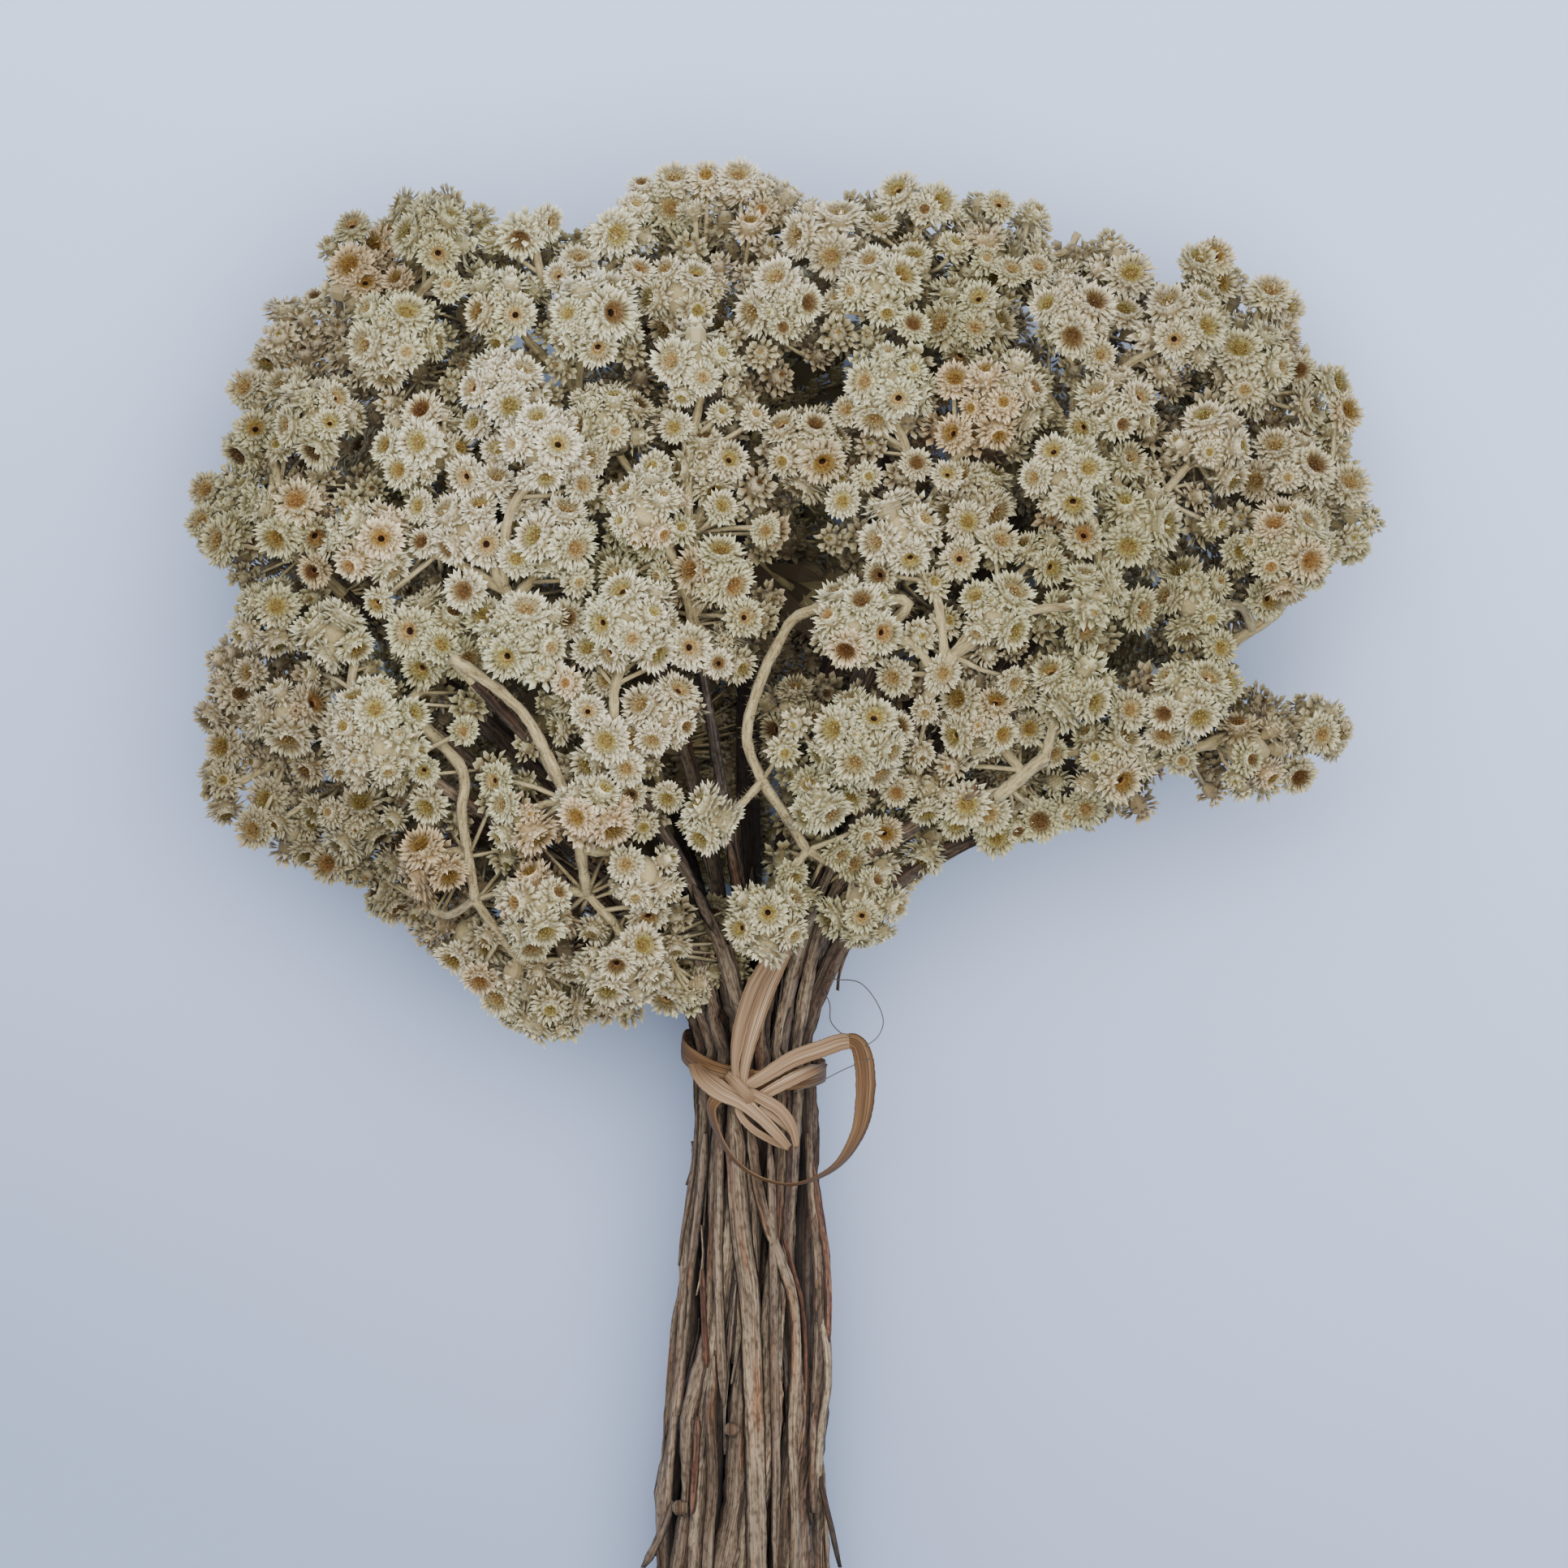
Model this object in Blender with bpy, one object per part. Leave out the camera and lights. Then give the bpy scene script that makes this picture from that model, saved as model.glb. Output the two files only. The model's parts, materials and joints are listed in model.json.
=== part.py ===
"""Dried edelweiss: a cut bunch of woolly flower sprays tied with raffia, lying on a surface.

The bunch lies along Y with its cut ends at -Y and its crown of flowers at +Y, and +Z is up.
Places in the tables below are in millimetres from the middle of the tie, with Z from the surface.
Each spray is two solids: a brown woody stem, and the pale corymb that grows on its tip.
"""

import itertools
import math
import random

import bmesh
import bpy
import numpy as np
from mathutils import Matrix, Vector

MM = 0.001
GAP = 0.35
SEED = 11

# Crown: how far it reaches from its centre in each direction (degrees, millimetres)
CROWN_CENTRE = (3.0, 80.0)
CROWN_REACH = (
    (0, 97), (30, 96), (54, 76), (90, 69), (108, 71), (131, 86), (152, 95), (195, 96),
    (217, 85), (243, 82), (272, 61), (300, 53), (323, 63), (343, 95), (360, 97),
)
CROWN_MID = 36.0
CROWN_HALF_SIZE = (95.0, 70.0, 42.0)
CROWN_RISE = 43.0
CROWN_SAG = 38.0
UNDER_FULLNESS = 1.15

# Bundle of stems: axis and radius at each distance along Y
BUNDLE_Y = (-96.0, -60.0, -30.0, 0.0, 20.0, 40.0)
BUNDLE_X = (-5.0, -4.0, -2.0, -1.8, 0.0, 1.0)
BUNDLE_Z = (14.5, 19.5, 24.3, 28.7, 31.5, 34.0)
BUNDLE_RADIUS = (14.3, 13.2, 11.4, 9.9, 11.2, 13.0)
BUNDLE_TWIST = 24.0
CUT_Y = -96.0
FAN_START = 7.0
FAN_SOFTNESS = 22.0
STEM_RINGS = ((4, 0.265), (9, 0.63), (16, 1.0))
STEM_RADIUS = 1.4
STEM_TIP_RADIUS = 1.1
STEM_TAPER = 25.0
STEM_STATIONS = (CUT_Y, -45.0, -2.0, 8.0)
STEM_FAN_POINTS = 3

# Corymbs: pale woolly stalks that end in clumps of flower heads
STALK_RADIUS = 1.25
STALK_LENGTH = 9.0
STALK_TURN = 5.0
BRANCH_RADIUS = 0.95
BRANCH_BEND = 0.18
BRANCH_ROOTS = (0.4, 0.95)
HUB_DEPTH = 25.0
LOWEST_HUB = (48.0, 25.0)
MOST_SLANT = 1.0
SMALL_CLUMP = 8.1
SHORT_BRANCH = 12.0
CORE_SHARE = 0.7
CORE_FOOT = -0.25
NECK_SIDES = 4
SMALL_CORE_FOOT = 0.2
HEAD_INSET = 0.07
HEAD_RISE = 0.325
HEAD_FLARE = 1.33
HEAD_DIMPLE = 0.2
HEAD_UNEVEN = 0.05
PRESSED = 1.2
WELD = 1e-6
SURFACE_SIZE = 0.6
SURFACE_DEPTH = 0.05

# Settling: how the clumps and stems are moved until none of them touch
SETTLE_STEPS = 300
REGROW_EVERY = 5
PUSH_SHARE = 0.5
STEP_SHARE = 0.6
PULL_BACK = 0.04
PULL_UNTIL = 0.7
SAME_SPRAY_NEARNESS = 1.02
MOST_SHIFT = 9.0
TINY = 1e-6

# Front sprays as they show from above: each clump is x, y, radius and lift over the crown's dome
FRONT_SPRAYS = (
    ("top_left", ((-57, 137, 8.0, 0), (-65, 128, 8.5, 0), (-49, 131, 8.0, 2), (-57, 120, 9.0, 0))),
    ("left", ((-76, 119, 8.0, 0), (-82, 107, 7.5, 0), (-70, 106, 8.5, 0), (-85, 92, 8.0, 0),
              (-73, 90, 8.0, 0), (-79, 76, 8.0, 0))),
    ("top_centre_left", ((-36, 137, 6.5, 0), (-25, 136, 8.0, 0), (-40, 124, 8.5, 0), (-27, 122, 8.5, 0))),
    ("top_centre", ((-13, 141, 8.0, 0), (-1, 141, 8.0, 0), (-12, 127, 8.5, 0), (2, 127, 8.0, 0))),
    ("bright_left", ((-54, 104, 9.5, 0), (-41, 109, 8.0, 0), (-60, 90, 8.5, 0), (-34, 97, 8.0, 3),
                     (-33, 86, 7.5, 3), (-47, 89, 7.5, 0))),
    ("inner_left", ((-26, 108, 9.0, 0), (-12, 112, 8.5, 0), (-9, 99, 7.0, -2), (-18, 91, 8.0, 2),
                    (-11, 80, 7.0, 0), (-5, 69, 6.0, -6))),
    ("front_left", ((-38, 71, 8.5, 2), (-26, 72, 9.0, 3), (-17, 63, 7.5, 0), (-34, 59, 7.0, 0))),
    ("low_left", ((-58, 61, 10.0, 3), (-51, 77, 9.5, 1), (-66, 73, 7.0, 0))),
    ("far_left", ((-87, 62, 7.5, 0), (-76, 60, 7.5, 0), (-87, 47, 7.0, 0), (-77, 42, 7.0, 0),
                  (-66, 42, 7.0, 0))),
    ("hanging_left", ((-53, 36, 6.5, 4), (-61, 30, 5.0, 0), (-46, 23, 8.5, 2), (-35, 14, 8.0, 2))),
    ("hanging_inner", ((-37, 42, 6.5, 4), (-26, 46, 7.5, 6), (-19, 35, 7.5, 2), (-34, 29, 8.0, 6),
                       (-23, 21, 8.5, 6), (-14, 17, 6.5, 2))),
    ("top_right", ((13, 137, 8.0, 0), (25, 138, 8.0, 0), (37, 136, 8.5, 0), (19, 124, 8.0, 0),
                   (48, 136, 6.0, 0))),
    ("upper_right", ((57, 131, 6.5, 0), (48, 122, 8.5, 0), (62, 119, 8.5, 0), (33, 121, 8.5, 0))),
    ("corner_right", ((72, 130, 5.5, 0), (81, 127, 5.0, 4), (75, 115, 8.5, 0), (87, 115, 7.5, 0))),
    ("right", ((93, 104, 7.5, 0), (82, 101, 8.5, 0), (95, 90, 7.5, 0), (80, 86, 9.0, 4),
               (69, 80, 8.0, 0), (89, 77, 6.5, 0))),
    ("inner_right", ((69, 101, 8.5, 0), (57, 105, 8.5, 0), (62, 91, 8.5, 0), (47, 97, 8.0, 0))),
    ("centre_right", ((8, 104, 8.5, -2), (20, 110, 8.5, 0), (35, 108, 9.0, 0), (32, 94, 7.5, -2))),
    ("front_right", ((38, 77, 7.5, 3), (50, 76, 6.5, 3), (45, 86, 5.5, 0), (18, 79, 8.5, 0),
                     (25, 88, 8.0, 0))),
    ("hanging_centre", ((3, 27, 8.3, 15), (15, 30, 8.3, 14), (23, 35, 5.5, 8), (-8, 43, 6.0, 8),
                        (9, 45, 5.0, 12))),
    ("low_centre", ((8, 59, 7.0, -8), (22, 56, 9.0, 0), (21, 44, 7.0, -6))),
    ("low_right", ((35, 60, 8.5, 0), (47, 62, 8.0, 0), (57, 57, 8.5, 0))),
    ("back_low_right", ((37, 46, 7.5, -6), (50, 47, 7.0, -6))),
    ("corner_low_right", ((78, 54, 8.5, 0), (89, 58, 7.5, 0), (67, 66, 8.0, 0), (78, 68, 6.0, 0))),
)

# Stalks that hang down over the front of the bunch, as x, y and z from the stem's tip on
HANGING_STALKS = {
    "hanging_centre": ((14, 79, 60), (7, 76, 63), (2, 70, 64), (-1, 63, 64), (-2.5, 56, 63),
                       (0, 49, 62), (4, 43, 60), (7, 38, 58)),
    "hanging_inner": ((-41, 65, 60), (-39, 61, 67), (-34, 53, 68), (-31, 46, 66), (-29, 38, 63),
                      (-28, 31, 58)),
    "hanging_left": ((-46, 57, 52), (-48, 51, 57), (-48, 44, 58), (-47, 37, 55), (-46, 30, 52)),
}

# Underside sprays: clumps on an even grid, each belonging to the nearest of these places
UNDER_SPRAYS = (
    ("under_left", (-55, 70)), ("under_upper_left", (-45, 106)), ("under_low", (-12, 50)),
    ("under_top", (2, 112)), ("under_upper_right", (52, 106)), ("under_right", (38, 66)),
)
UNDER_RADIUS = 11.0
UNDER_STEP = 26.0
UNDER_REACH = 0.84

# Raffia tie
RAFFIA_WIDTH = 3.6
RAFFIA_THICKNESS = 0.8
BAND_CLEARANCE = 0.9
BAND_POINTS = 14
BAND_MIDDLE_Y = 2.5
BAND_LEAN = (3.5, 1.5)
KNOT_PLACE = (-3.5, 0.5, 42.6)
KNOT_SIZE = (4.2, 3.2, 1.6)

# Strips of the bow, from the knot out: x, y, z and the turn about the strip's own length (90 is flat)
BOW_STRIPS = {
    "loop": ((-3, 0, 42.6, 90), (5, 4.9, 43.4, 90), (13.5, 8.4, 43.8, 80), (16.8, 7.4, 43.6, 60),
             (18, 2, 43.2, 45), (16.8, -6, 42.8, 40), (12, -12.8, 42.2, 30), (4, -15.3, 41.8, 15),
             (-3, -13, 42.0, 20), (-6.8, -7, 42.4, 40), (-4, 0, 42.6, 90)),
    "upper_strip": ((-4.5, 0.5, 43.0, 90), (-5, 7, 44.4, 80), (1.2, 20, 46.0, 60)),
    "inner_strip": ((-3, 1, 42.6, 90), (-2.6, 8, 43.8, 100), (3.2, 18.5, 45.6, 110)),
    "long_tail": ((-4, -0.5, 42.6, 90), (1.5, -5.8, 42.8, 100), (6.4, -9.4, 42.0, 90)),
    "short_tail": ((-2.5, 0, 42.8, 90), (3.4, -3.6, 43.6, 80), (6.2, -8.8, 42.4, 80)),
}

# Colours, as red, green and blue from 0 to 1
STEM_COLOUR = (0.21, 0.155, 0.11)
FLOWER_COLOUR = (0.74, 0.67, 0.52)
RAFFIA_COLOUR = (0.55, 0.32, 0.16)


def crown_reach(x, y):
    """Distance from the crown's centre to its outline in the direction of a point."""
    angle = math.degrees(math.atan2(y - CROWN_CENTRE[1], x - CROWN_CENTRE[0])) % 360
    return float(np.interp(angle, *zip(*CROWN_REACH)))


def crown_fraction(x, y, radius):
    """0 at the crown's centre and 1 where a clump of this radius touches the outline."""
    away = math.hypot(x - CROWN_CENTRE[0], y - CROWN_CENTRE[1])
    return min(1.0, away / (crown_reach(x, y) - radius))


def front_height(x, y, radius):
    """Height of a clump's centre on the crown's upper dome."""
    dome = math.sqrt(1.0 - crown_fraction(x, y, radius) ** 2)
    return CROWN_MID + (CROWN_RISE - radius) * dome


def under_height(x, y, radius):
    """Height of a clump's centre on the crown's underside, which the surface flattens."""
    dome = math.sqrt(1.0 - crown_fraction(x, y, radius) ** 2)
    return max(radius - PRESSED, CROWN_MID - (CROWN_SAG - radius) * dome * UNDER_FULLNESS)


def bundle_axis(y):
    """Middle of the bundle of stems at a distance along Y."""
    return np.array([np.interp(y, BUNDLE_Y, BUNDLE_X), y, np.interp(y, BUNDLE_Y, BUNDLE_Z)])


def under_clumps():
    """Even grid of clumps inside the crown's outline, alternate rows shifted by half a step."""
    clumps = []
    row_step = UNDER_STEP * math.sqrt(0.75)
    for row in range(-4, 5):
        for column in range(-5, 6):
            x = CROWN_CENTRE[0] + (column + 0.5 * (row % 2)) * UNDER_STEP
            y = CROWN_CENTRE[1] + row * row_step
            if crown_fraction(x, y, UNDER_RADIUS) < UNDER_REACH:
                clumps.append((x, y))
    return clumps


def all_clumps():
    """Spray number, target place and radius of every clump, and the sprays' names."""
    names, owner, place, radius = [], [], [], []
    for name, clumps in FRONT_SPRAYS:
        for x, y, r, lift in clumps:
            owner.append(len(names))
            place.append((x, y, front_height(x, y, r) + lift))
            radius.append(r)
        names.append(name)
    first_under = len(names)
    centres = np.array([centre for _, centre in UNDER_SPRAYS])
    for x, y in under_clumps():
        nearest = int(np.argmin(np.hypot(*(centres - (x, y)).T)))
        owner.append(first_under + nearest)
        place.append((x, y, under_height(x, y, UNDER_RADIUS)))
        radius.append(UNDER_RADIUS)
    names += [name for name, _ in UNDER_SPRAYS]
    return names, np.array(owner), np.array(place, float), np.array(radius, float)


def fan(distance):
    """How far a stem has swung from the bundle's direction, gently at first and then steadily."""
    distance = np.maximum(distance - FAN_START, 0.0)
    return distance - FAN_SOFTNESS * (1.0 - np.exp(-distance / FAN_SOFTNESS))


def bundle_slots():
    """Places of the stems across the tie, in rings on a disc of radius 1."""
    slots = []
    for count, ring in STEM_RINGS:
        for angle in np.arange(count) * math.tau / count + ring:
            slots.append((ring * math.cos(angle), ring * math.sin(angle)))
    return np.array(slots)


def assign_slots(swing):
    """Gives each stem the slot on its own side of the bundle, so that no two stems cross."""
    slots = bundle_slots()[: len(swing)]
    order = list(range(len(swing)))
    swapped = True
    while swapped:
        swapped = False
        for i in range(len(order)):
            for j in range(i + 1, len(order)):
                gain = np.dot(slots[order[i]] - slots[order[j]], swing[j] - swing[i])
                if gain > TINY:
                    order[i], order[j] = order[j], order[i]
                    swapped = True
    return slots[order]


def unit(vector):
    """The same direction with a length of 1."""
    return vector / np.linalg.norm(vector)


def outward_from_crown(place):
    """Direction that faces out of the crown at a place."""
    away = np.array(place) - (*CROWN_CENTRE, CROWN_MID)
    return unit(away / np.array(CROWN_HALF_SIZE) ** 2)


def nearest_between(starts, spans, others, other_spans):
    """Vectors between the nearest points of every pair of straight stretches."""
    offset = starts[:, None] - others[None]
    a = (spans * spans).sum(axis=1)[:, None]
    e = (other_spans * other_spans).sum(axis=1)[None]
    b = spans @ other_spans.T
    c = (spans[:, None] * offset).sum(axis=2)
    f = (other_spans[None] * offset).sum(axis=2)
    along = np.clip((b * f - c * e) / np.maximum(a * e - b * b, TINY), 0.0, 1.0)
    other_along = np.clip((b * along + f) / e, 0.0, 1.0)
    along = np.clip((b * other_along - c) / a, 0.0, 1.0)
    return offset + spans[:, None] * along[..., None] - other_spans[None] * other_along[..., None]


class Layout:
    """Places of all clumps, stems and stalks, settled so that no two sprays touch."""

    def __init__(self):
        self.names, self.owner, self.target, self.radius = all_clumps()
        self.place = self.target.copy()
        self.shift = np.zeros((len(self.names), 3))
        self.grow()
        for step in range(SETTLE_STEPS):
            self.push_clumps(step)
            if (step + 1) % REGROW_EVERY == 0:
                self.push_stems()
                self.grow()

    def grow(self):
        """Works out each stem, stalk and branch from the clumps' present places."""
        tie = bundle_axis(0.0)
        hubs = []
        for i, name in enumerate(self.names):
            away = self.place[self.owner == i].mean(axis=0) - tie
            reach = np.linalg.norm(away)
            hub = tie + away * (reach - HUB_DEPTH) / reach
            hub[1:] = np.maximum(hub[1:], LOWEST_HUB)
            hub[0] = np.clip(hub[0], -MOST_SLANT * hub[1], MOST_SLANT * hub[1])
            hubs.append(HANGING_STALKS[name][0] if name in HANGING_STALKS else hub)
        hubs = np.array(hubs, float) + self.shift
        swing = (hubs - tie)[:, [0, 2]] / fan(hubs[:, 1])[:, None]
        slots = assign_slots(swing)
        self.stems = [self.stem_path(*spray) for spray in zip(slots, swing, hubs[:, 1])]
        self.stalks = [self.stalk_path(i) for i in range(len(self.names))]
        self.branches = [None] * len(self.radius)
        for i in range(len(self.names)):
            self.add_branches(i)

    def stem_path(self, slot, swing, hub_y):
        """Centre line of a stem from its cut end through the tie to its tip."""
        beyond = np.linspace(STEM_STATIONS[-1], hub_y, STEM_FAN_POINTS + 1)[1:]
        path = []
        for y in (*STEM_STATIONS, *beyond):
            inner = min(y, 0.0)
            turn = math.radians(BUNDLE_TWIST) * inner / CUT_Y
            spin = np.array([[math.cos(turn), -math.sin(turn)], [math.sin(turn), math.cos(turn)]])
            spread = np.interp(inner, BUNDLE_Y, BUNDLE_RADIUS) - stem_radius(inner)
            point = bundle_axis(inner)
            point[[0, 2]] += spin @ slot * spread + swing * fan(y)
            point[1] = y
            path.append(point)
        return np.array(path)

    def stalk_path(self, i):
        """Main stalk of a corymb: a short run on from the stem, or the whole of a hanging stalk."""
        tip = self.stems[i][-1]
        along = tip - self.stems[i][-2]
        along /= np.linalg.norm(along)
        foot = tip + along * GAP
        rest = HANGING_STALKS.get(self.names[i], (None,))[1:]
        return np.array([foot, foot + along * (STALK_TURN if rest else STALK_LENGTH), *rest], float)

    def add_branches(self, i):
        """Branches of a spray, from places in turn along its stalk to each clump's back."""
        stalk = self.stalks[i]
        members = np.flatnonzero(self.owner == i)
        run = stalk[-1] - stalk[0]
        order = members[np.argsort((self.place[members] - stalk[0]) @ run)]
        for turn, k in enumerate(order):
            if len(stalk) == 2:
                root = stalk[0] + run * np.interp(turn, (0, len(members) - 1), BRANCH_ROOTS)
            else:
                joints = stalk[2:]
                root = joints[np.argmin(np.linalg.norm(joints - self.place[k], axis=1))]
            facing = self.facing(k, root)
            back = self.place[k] - facing * self.radius[k] * CORE_SHARE
            reach = np.linalg.norm(back - root)
            bend = (root + back) / 2.0 + unit(run) * reach * BRANCH_BEND
            self.branches[k] = np.array([root, back] if reach < SHORT_BRANCH else [root, bend, back])

    def facing(self, k, root):
        """Direction in which a clump's heads face: away from its root and out of the crown."""
        away = self.place[k] - root
        return unit(unit(away) + outward_from_crown(self.place[k]))

    def segments(self):
        """Every straight stretch of stem, stalk and branch: start, span, radius and spray."""
        starts, spans, radii, owners = [], [], [], []
        lines = [(path, STALK_RADIUS, i) for i, path in enumerate(self.stalks)]
        lines += [(path, BRANCH_RADIUS, self.owner[k]) for k, path in enumerate(self.branches)]
        lines += [(path, STEM_TIP_RADIUS, i) for i, path in enumerate(self.stems)]
        for path, radius, i in lines:
            for start, end in zip(path[:-1], path[1:]):
                starts.append(start)
                spans.append(end - start)
                radii.append(radius)
                owners.append(i)
        return np.array(starts), np.array(spans), np.array(radii), np.array(owners)

    def push_stems(self):
        """Moves the tips of stems whose stalks or branches come too near another spray's."""
        starts, spans, radii, owners = self.segments()
        between = nearest_between(starts, spans, starts, spans)
        distance = np.linalg.norm(between, axis=2) + TINY
        short = np.maximum(radii[:, None] + radii[None] + 2.0 * GAP - distance, 0.0)
        short[owners[:, None] == owners[None]] = 0.0
        in_fan = starts[:, 1] > FAN_START
        short[~in_fan] = 0.0
        for i in range(len(self.names)):
            mine = np.flatnonzero(owners == i)
            row, column = np.unravel_index(short[mine].argmax(), short[mine].shape)
            push = short[mine[row], column] * PUSH_SHARE / distance[mine[row], column]
            self.shift[i] += between[mine[row], column] * push
            self.shift[i] *= min(1.0, MOST_SHIFT / (np.linalg.norm(self.shift[i]) + TINY))

    def push_clumps(self, step):
        """One step of pushing clumps off one another, off other sprays' stems and off the surface."""
        move = np.zeros_like(self.place)
        between = self.place[:, None] - self.place[None]
        apart = np.linalg.norm(between, axis=2) + TINY
        same = self.owner[:, None] == self.owner[None]
        need = (self.radius[:, None] + self.radius[None]) * np.where(same, SAME_SPRAY_NEARNESS, 1.0)
        need += np.where(same, 0.0, GAP)
        short = np.maximum(need - apart, 0.0)
        np.fill_diagonal(short, 0.0)
        move += (between / apart[..., None] * short[..., None]).sum(axis=1) * PUSH_SHARE
        starts, spans, radii, owners = self.segments()
        along = self.place[:, None] - starts[None]
        part = (along * spans).sum(axis=2) / (spans * spans).sum(axis=1)
        off = along - spans * np.clip(part, 0.0, 1.0)[..., None]
        distance = np.linalg.norm(off, axis=2) + TINY
        short = np.maximum(self.radius[:, None] + radii[None] + GAP - distance, 0.0)
        woody = np.arange(len(owners)) >= len(owners) - sum(len(path) - 1 for path in self.stems)
        short[(self.owner[:, None] == owners[None]) & ~woody] = 0.0
        worst = short.argmax(axis=1)
        rows = np.arange(len(worst))
        move += off[rows, worst] / distance[rows, worst, None] * short[rows, worst, None]
        pull = max(0.0, 1.0 - step / (PULL_UNTIL * SETTLE_STEPS)) * PULL_BACK
        self.place += move * STEP_SHARE + (self.target - self.place) * pull
        self.place[:, 2] = np.maximum(self.place[:, 2], self.radius - PRESSED)


def stem_radius(y):
    """A stem's radius: thick at the cut end and slim past the tie."""
    if y > 0.0:
        return np.interp(y, (0.0, STEM_TAPER), (STEM_RADIUS, STEM_TIP_RADIUS))
    return STEM_RADIUS * np.interp(y, BUNDLE_Y, BUNDLE_RADIUS) / np.interp(0.0, BUNDLE_Y, BUNDLE_RADIUS)


def material(name, colour, roughness):
    """A plain finish: one colour and roughness."""
    finish = bpy.data.materials.new(name)
    finish.use_nodes = True
    shader = finish.node_tree.nodes["Principled BSDF"]
    shader.inputs["Base Color"].default_value = (*colour, 1.0)
    shader.inputs["Roughness"].default_value = roughness
    return finish


def add_object(name, data, collection, finish):
    """Puts a mesh or a curve in a collection as an object with one finish."""
    obj = bpy.data.objects.new(name, data)
    data.materials.append(finish)
    collection.objects.link(obj)
    return obj


def tube(name, path, radii, level, collection, finish):
    """Round bar along a path given in millimetres, with closed ends."""
    curve = bpy.data.curves.new(name, "CURVE")
    curve.dimensions = "3D"
    curve.bevel_depth = MM
    curve.bevel_resolution = level
    curve.use_fill_caps = True
    spline = curve.splines.new("POLY")
    spline.points.add(len(path) - 1)
    for point, place, radius in zip(spline.points, path, radii):
        point.co = (*(np.array(place) * MM), 1.0)
        point.radius = radius
    return add_object(name, curve, collection, finish)


def strap(name, path, tilts, collection, finish, cyclic=False):
    """Flat raffia strip along a path given in millimetres, turned about itself by each tilt in degrees."""
    curve = bpy.data.curves.new(name, "CURVE")
    curve.dimensions = "3D"
    curve.twist_mode = "Z_UP"
    curve.extrude = (RAFFIA_WIDTH - RAFFIA_THICKNESS) / 2 * MM
    curve.bevel_depth = RAFFIA_THICKNESS / 2 * MM
    curve.bevel_resolution = 0
    curve.use_fill_caps = not cyclic
    spline = curve.splines.new("POLY")
    spline.points.add(len(path) - 1)
    for point, place, tilt in zip(spline.points, path, tilts):
        point.co = (*(np.array(place) * MM), 1.0)
        point.tilt = math.radians(tilt)
    spline.use_cyclic_u = cyclic
    return add_object(name, curve, collection, finish)


def made_mesh(obj, collection):
    """A mesh object in place of a curve, with its caps welded on."""
    bpy.context.view_layer.update()
    evaluated = obj.evaluated_get(bpy.context.evaluated_depsgraph_get())
    mesh = bpy.data.meshes.new_from_object(evaluated)
    solid = bmesh.new()
    solid.from_mesh(mesh)
    bmesh.ops.remove_doubles(solid, verts=solid.verts, dist=WELD)
    bmesh.ops.recalc_face_normals(solid, faces=solid.faces)
    solid.to_mesh(mesh)
    solid.free()
    name, place = obj.name, obj.matrix_world.copy()
    bpy.data.objects.remove(obj)
    made = bpy.data.objects.new(name, mesh)
    made.matrix_world = place
    collection.objects.link(made)
    return made


def neck_facing(face):
    """Direction in which a neck's end faces."""
    face.normal_update()
    return face.normal


def core_points(radius, small):
    """Corners of the outer side of a dodecahedron about +Z, and a slim neck behind it.

    A small clump has a corner at its top, with three faces round it, and others have a face there.
    """
    golden = (1.0 + math.sqrt(5.0)) / 2.0
    corners = [Vector(sign) for sign in itertools.product((-1, 1), repeat=3)]
    for a, b in itertools.product((-1, 1), repeat=2):
        corners += [Vector((0, a / golden, b * golden)), Vector((a / golden, b * golden, 0))]
        corners += [Vector((b * golden, 0, a / golden))]
    top = Vector((1, 1, 1)) if small else Vector((0, golden, 1))
    turn = top.rotation_difference(Vector((0, 0, 1))).to_matrix()
    corners = [turn @ corner.normalized() for corner in corners]
    lowest = SMALL_CORE_FOOT if small else CORE_FOOT
    kept = [corner * radius * CORE_SHARE for corner in corners if corner.z > lowest]
    neck = []
    for k in range(NECK_SIDES):
        around = math.tau * k / NECK_SIDES
        side = Vector((math.cos(around), math.sin(around), 0.0)) * BRANCH_RADIUS
        neck.append(side + Vector((0.0, 0.0, -radius * CORE_SHARE)))
    return kept + neck


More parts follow.
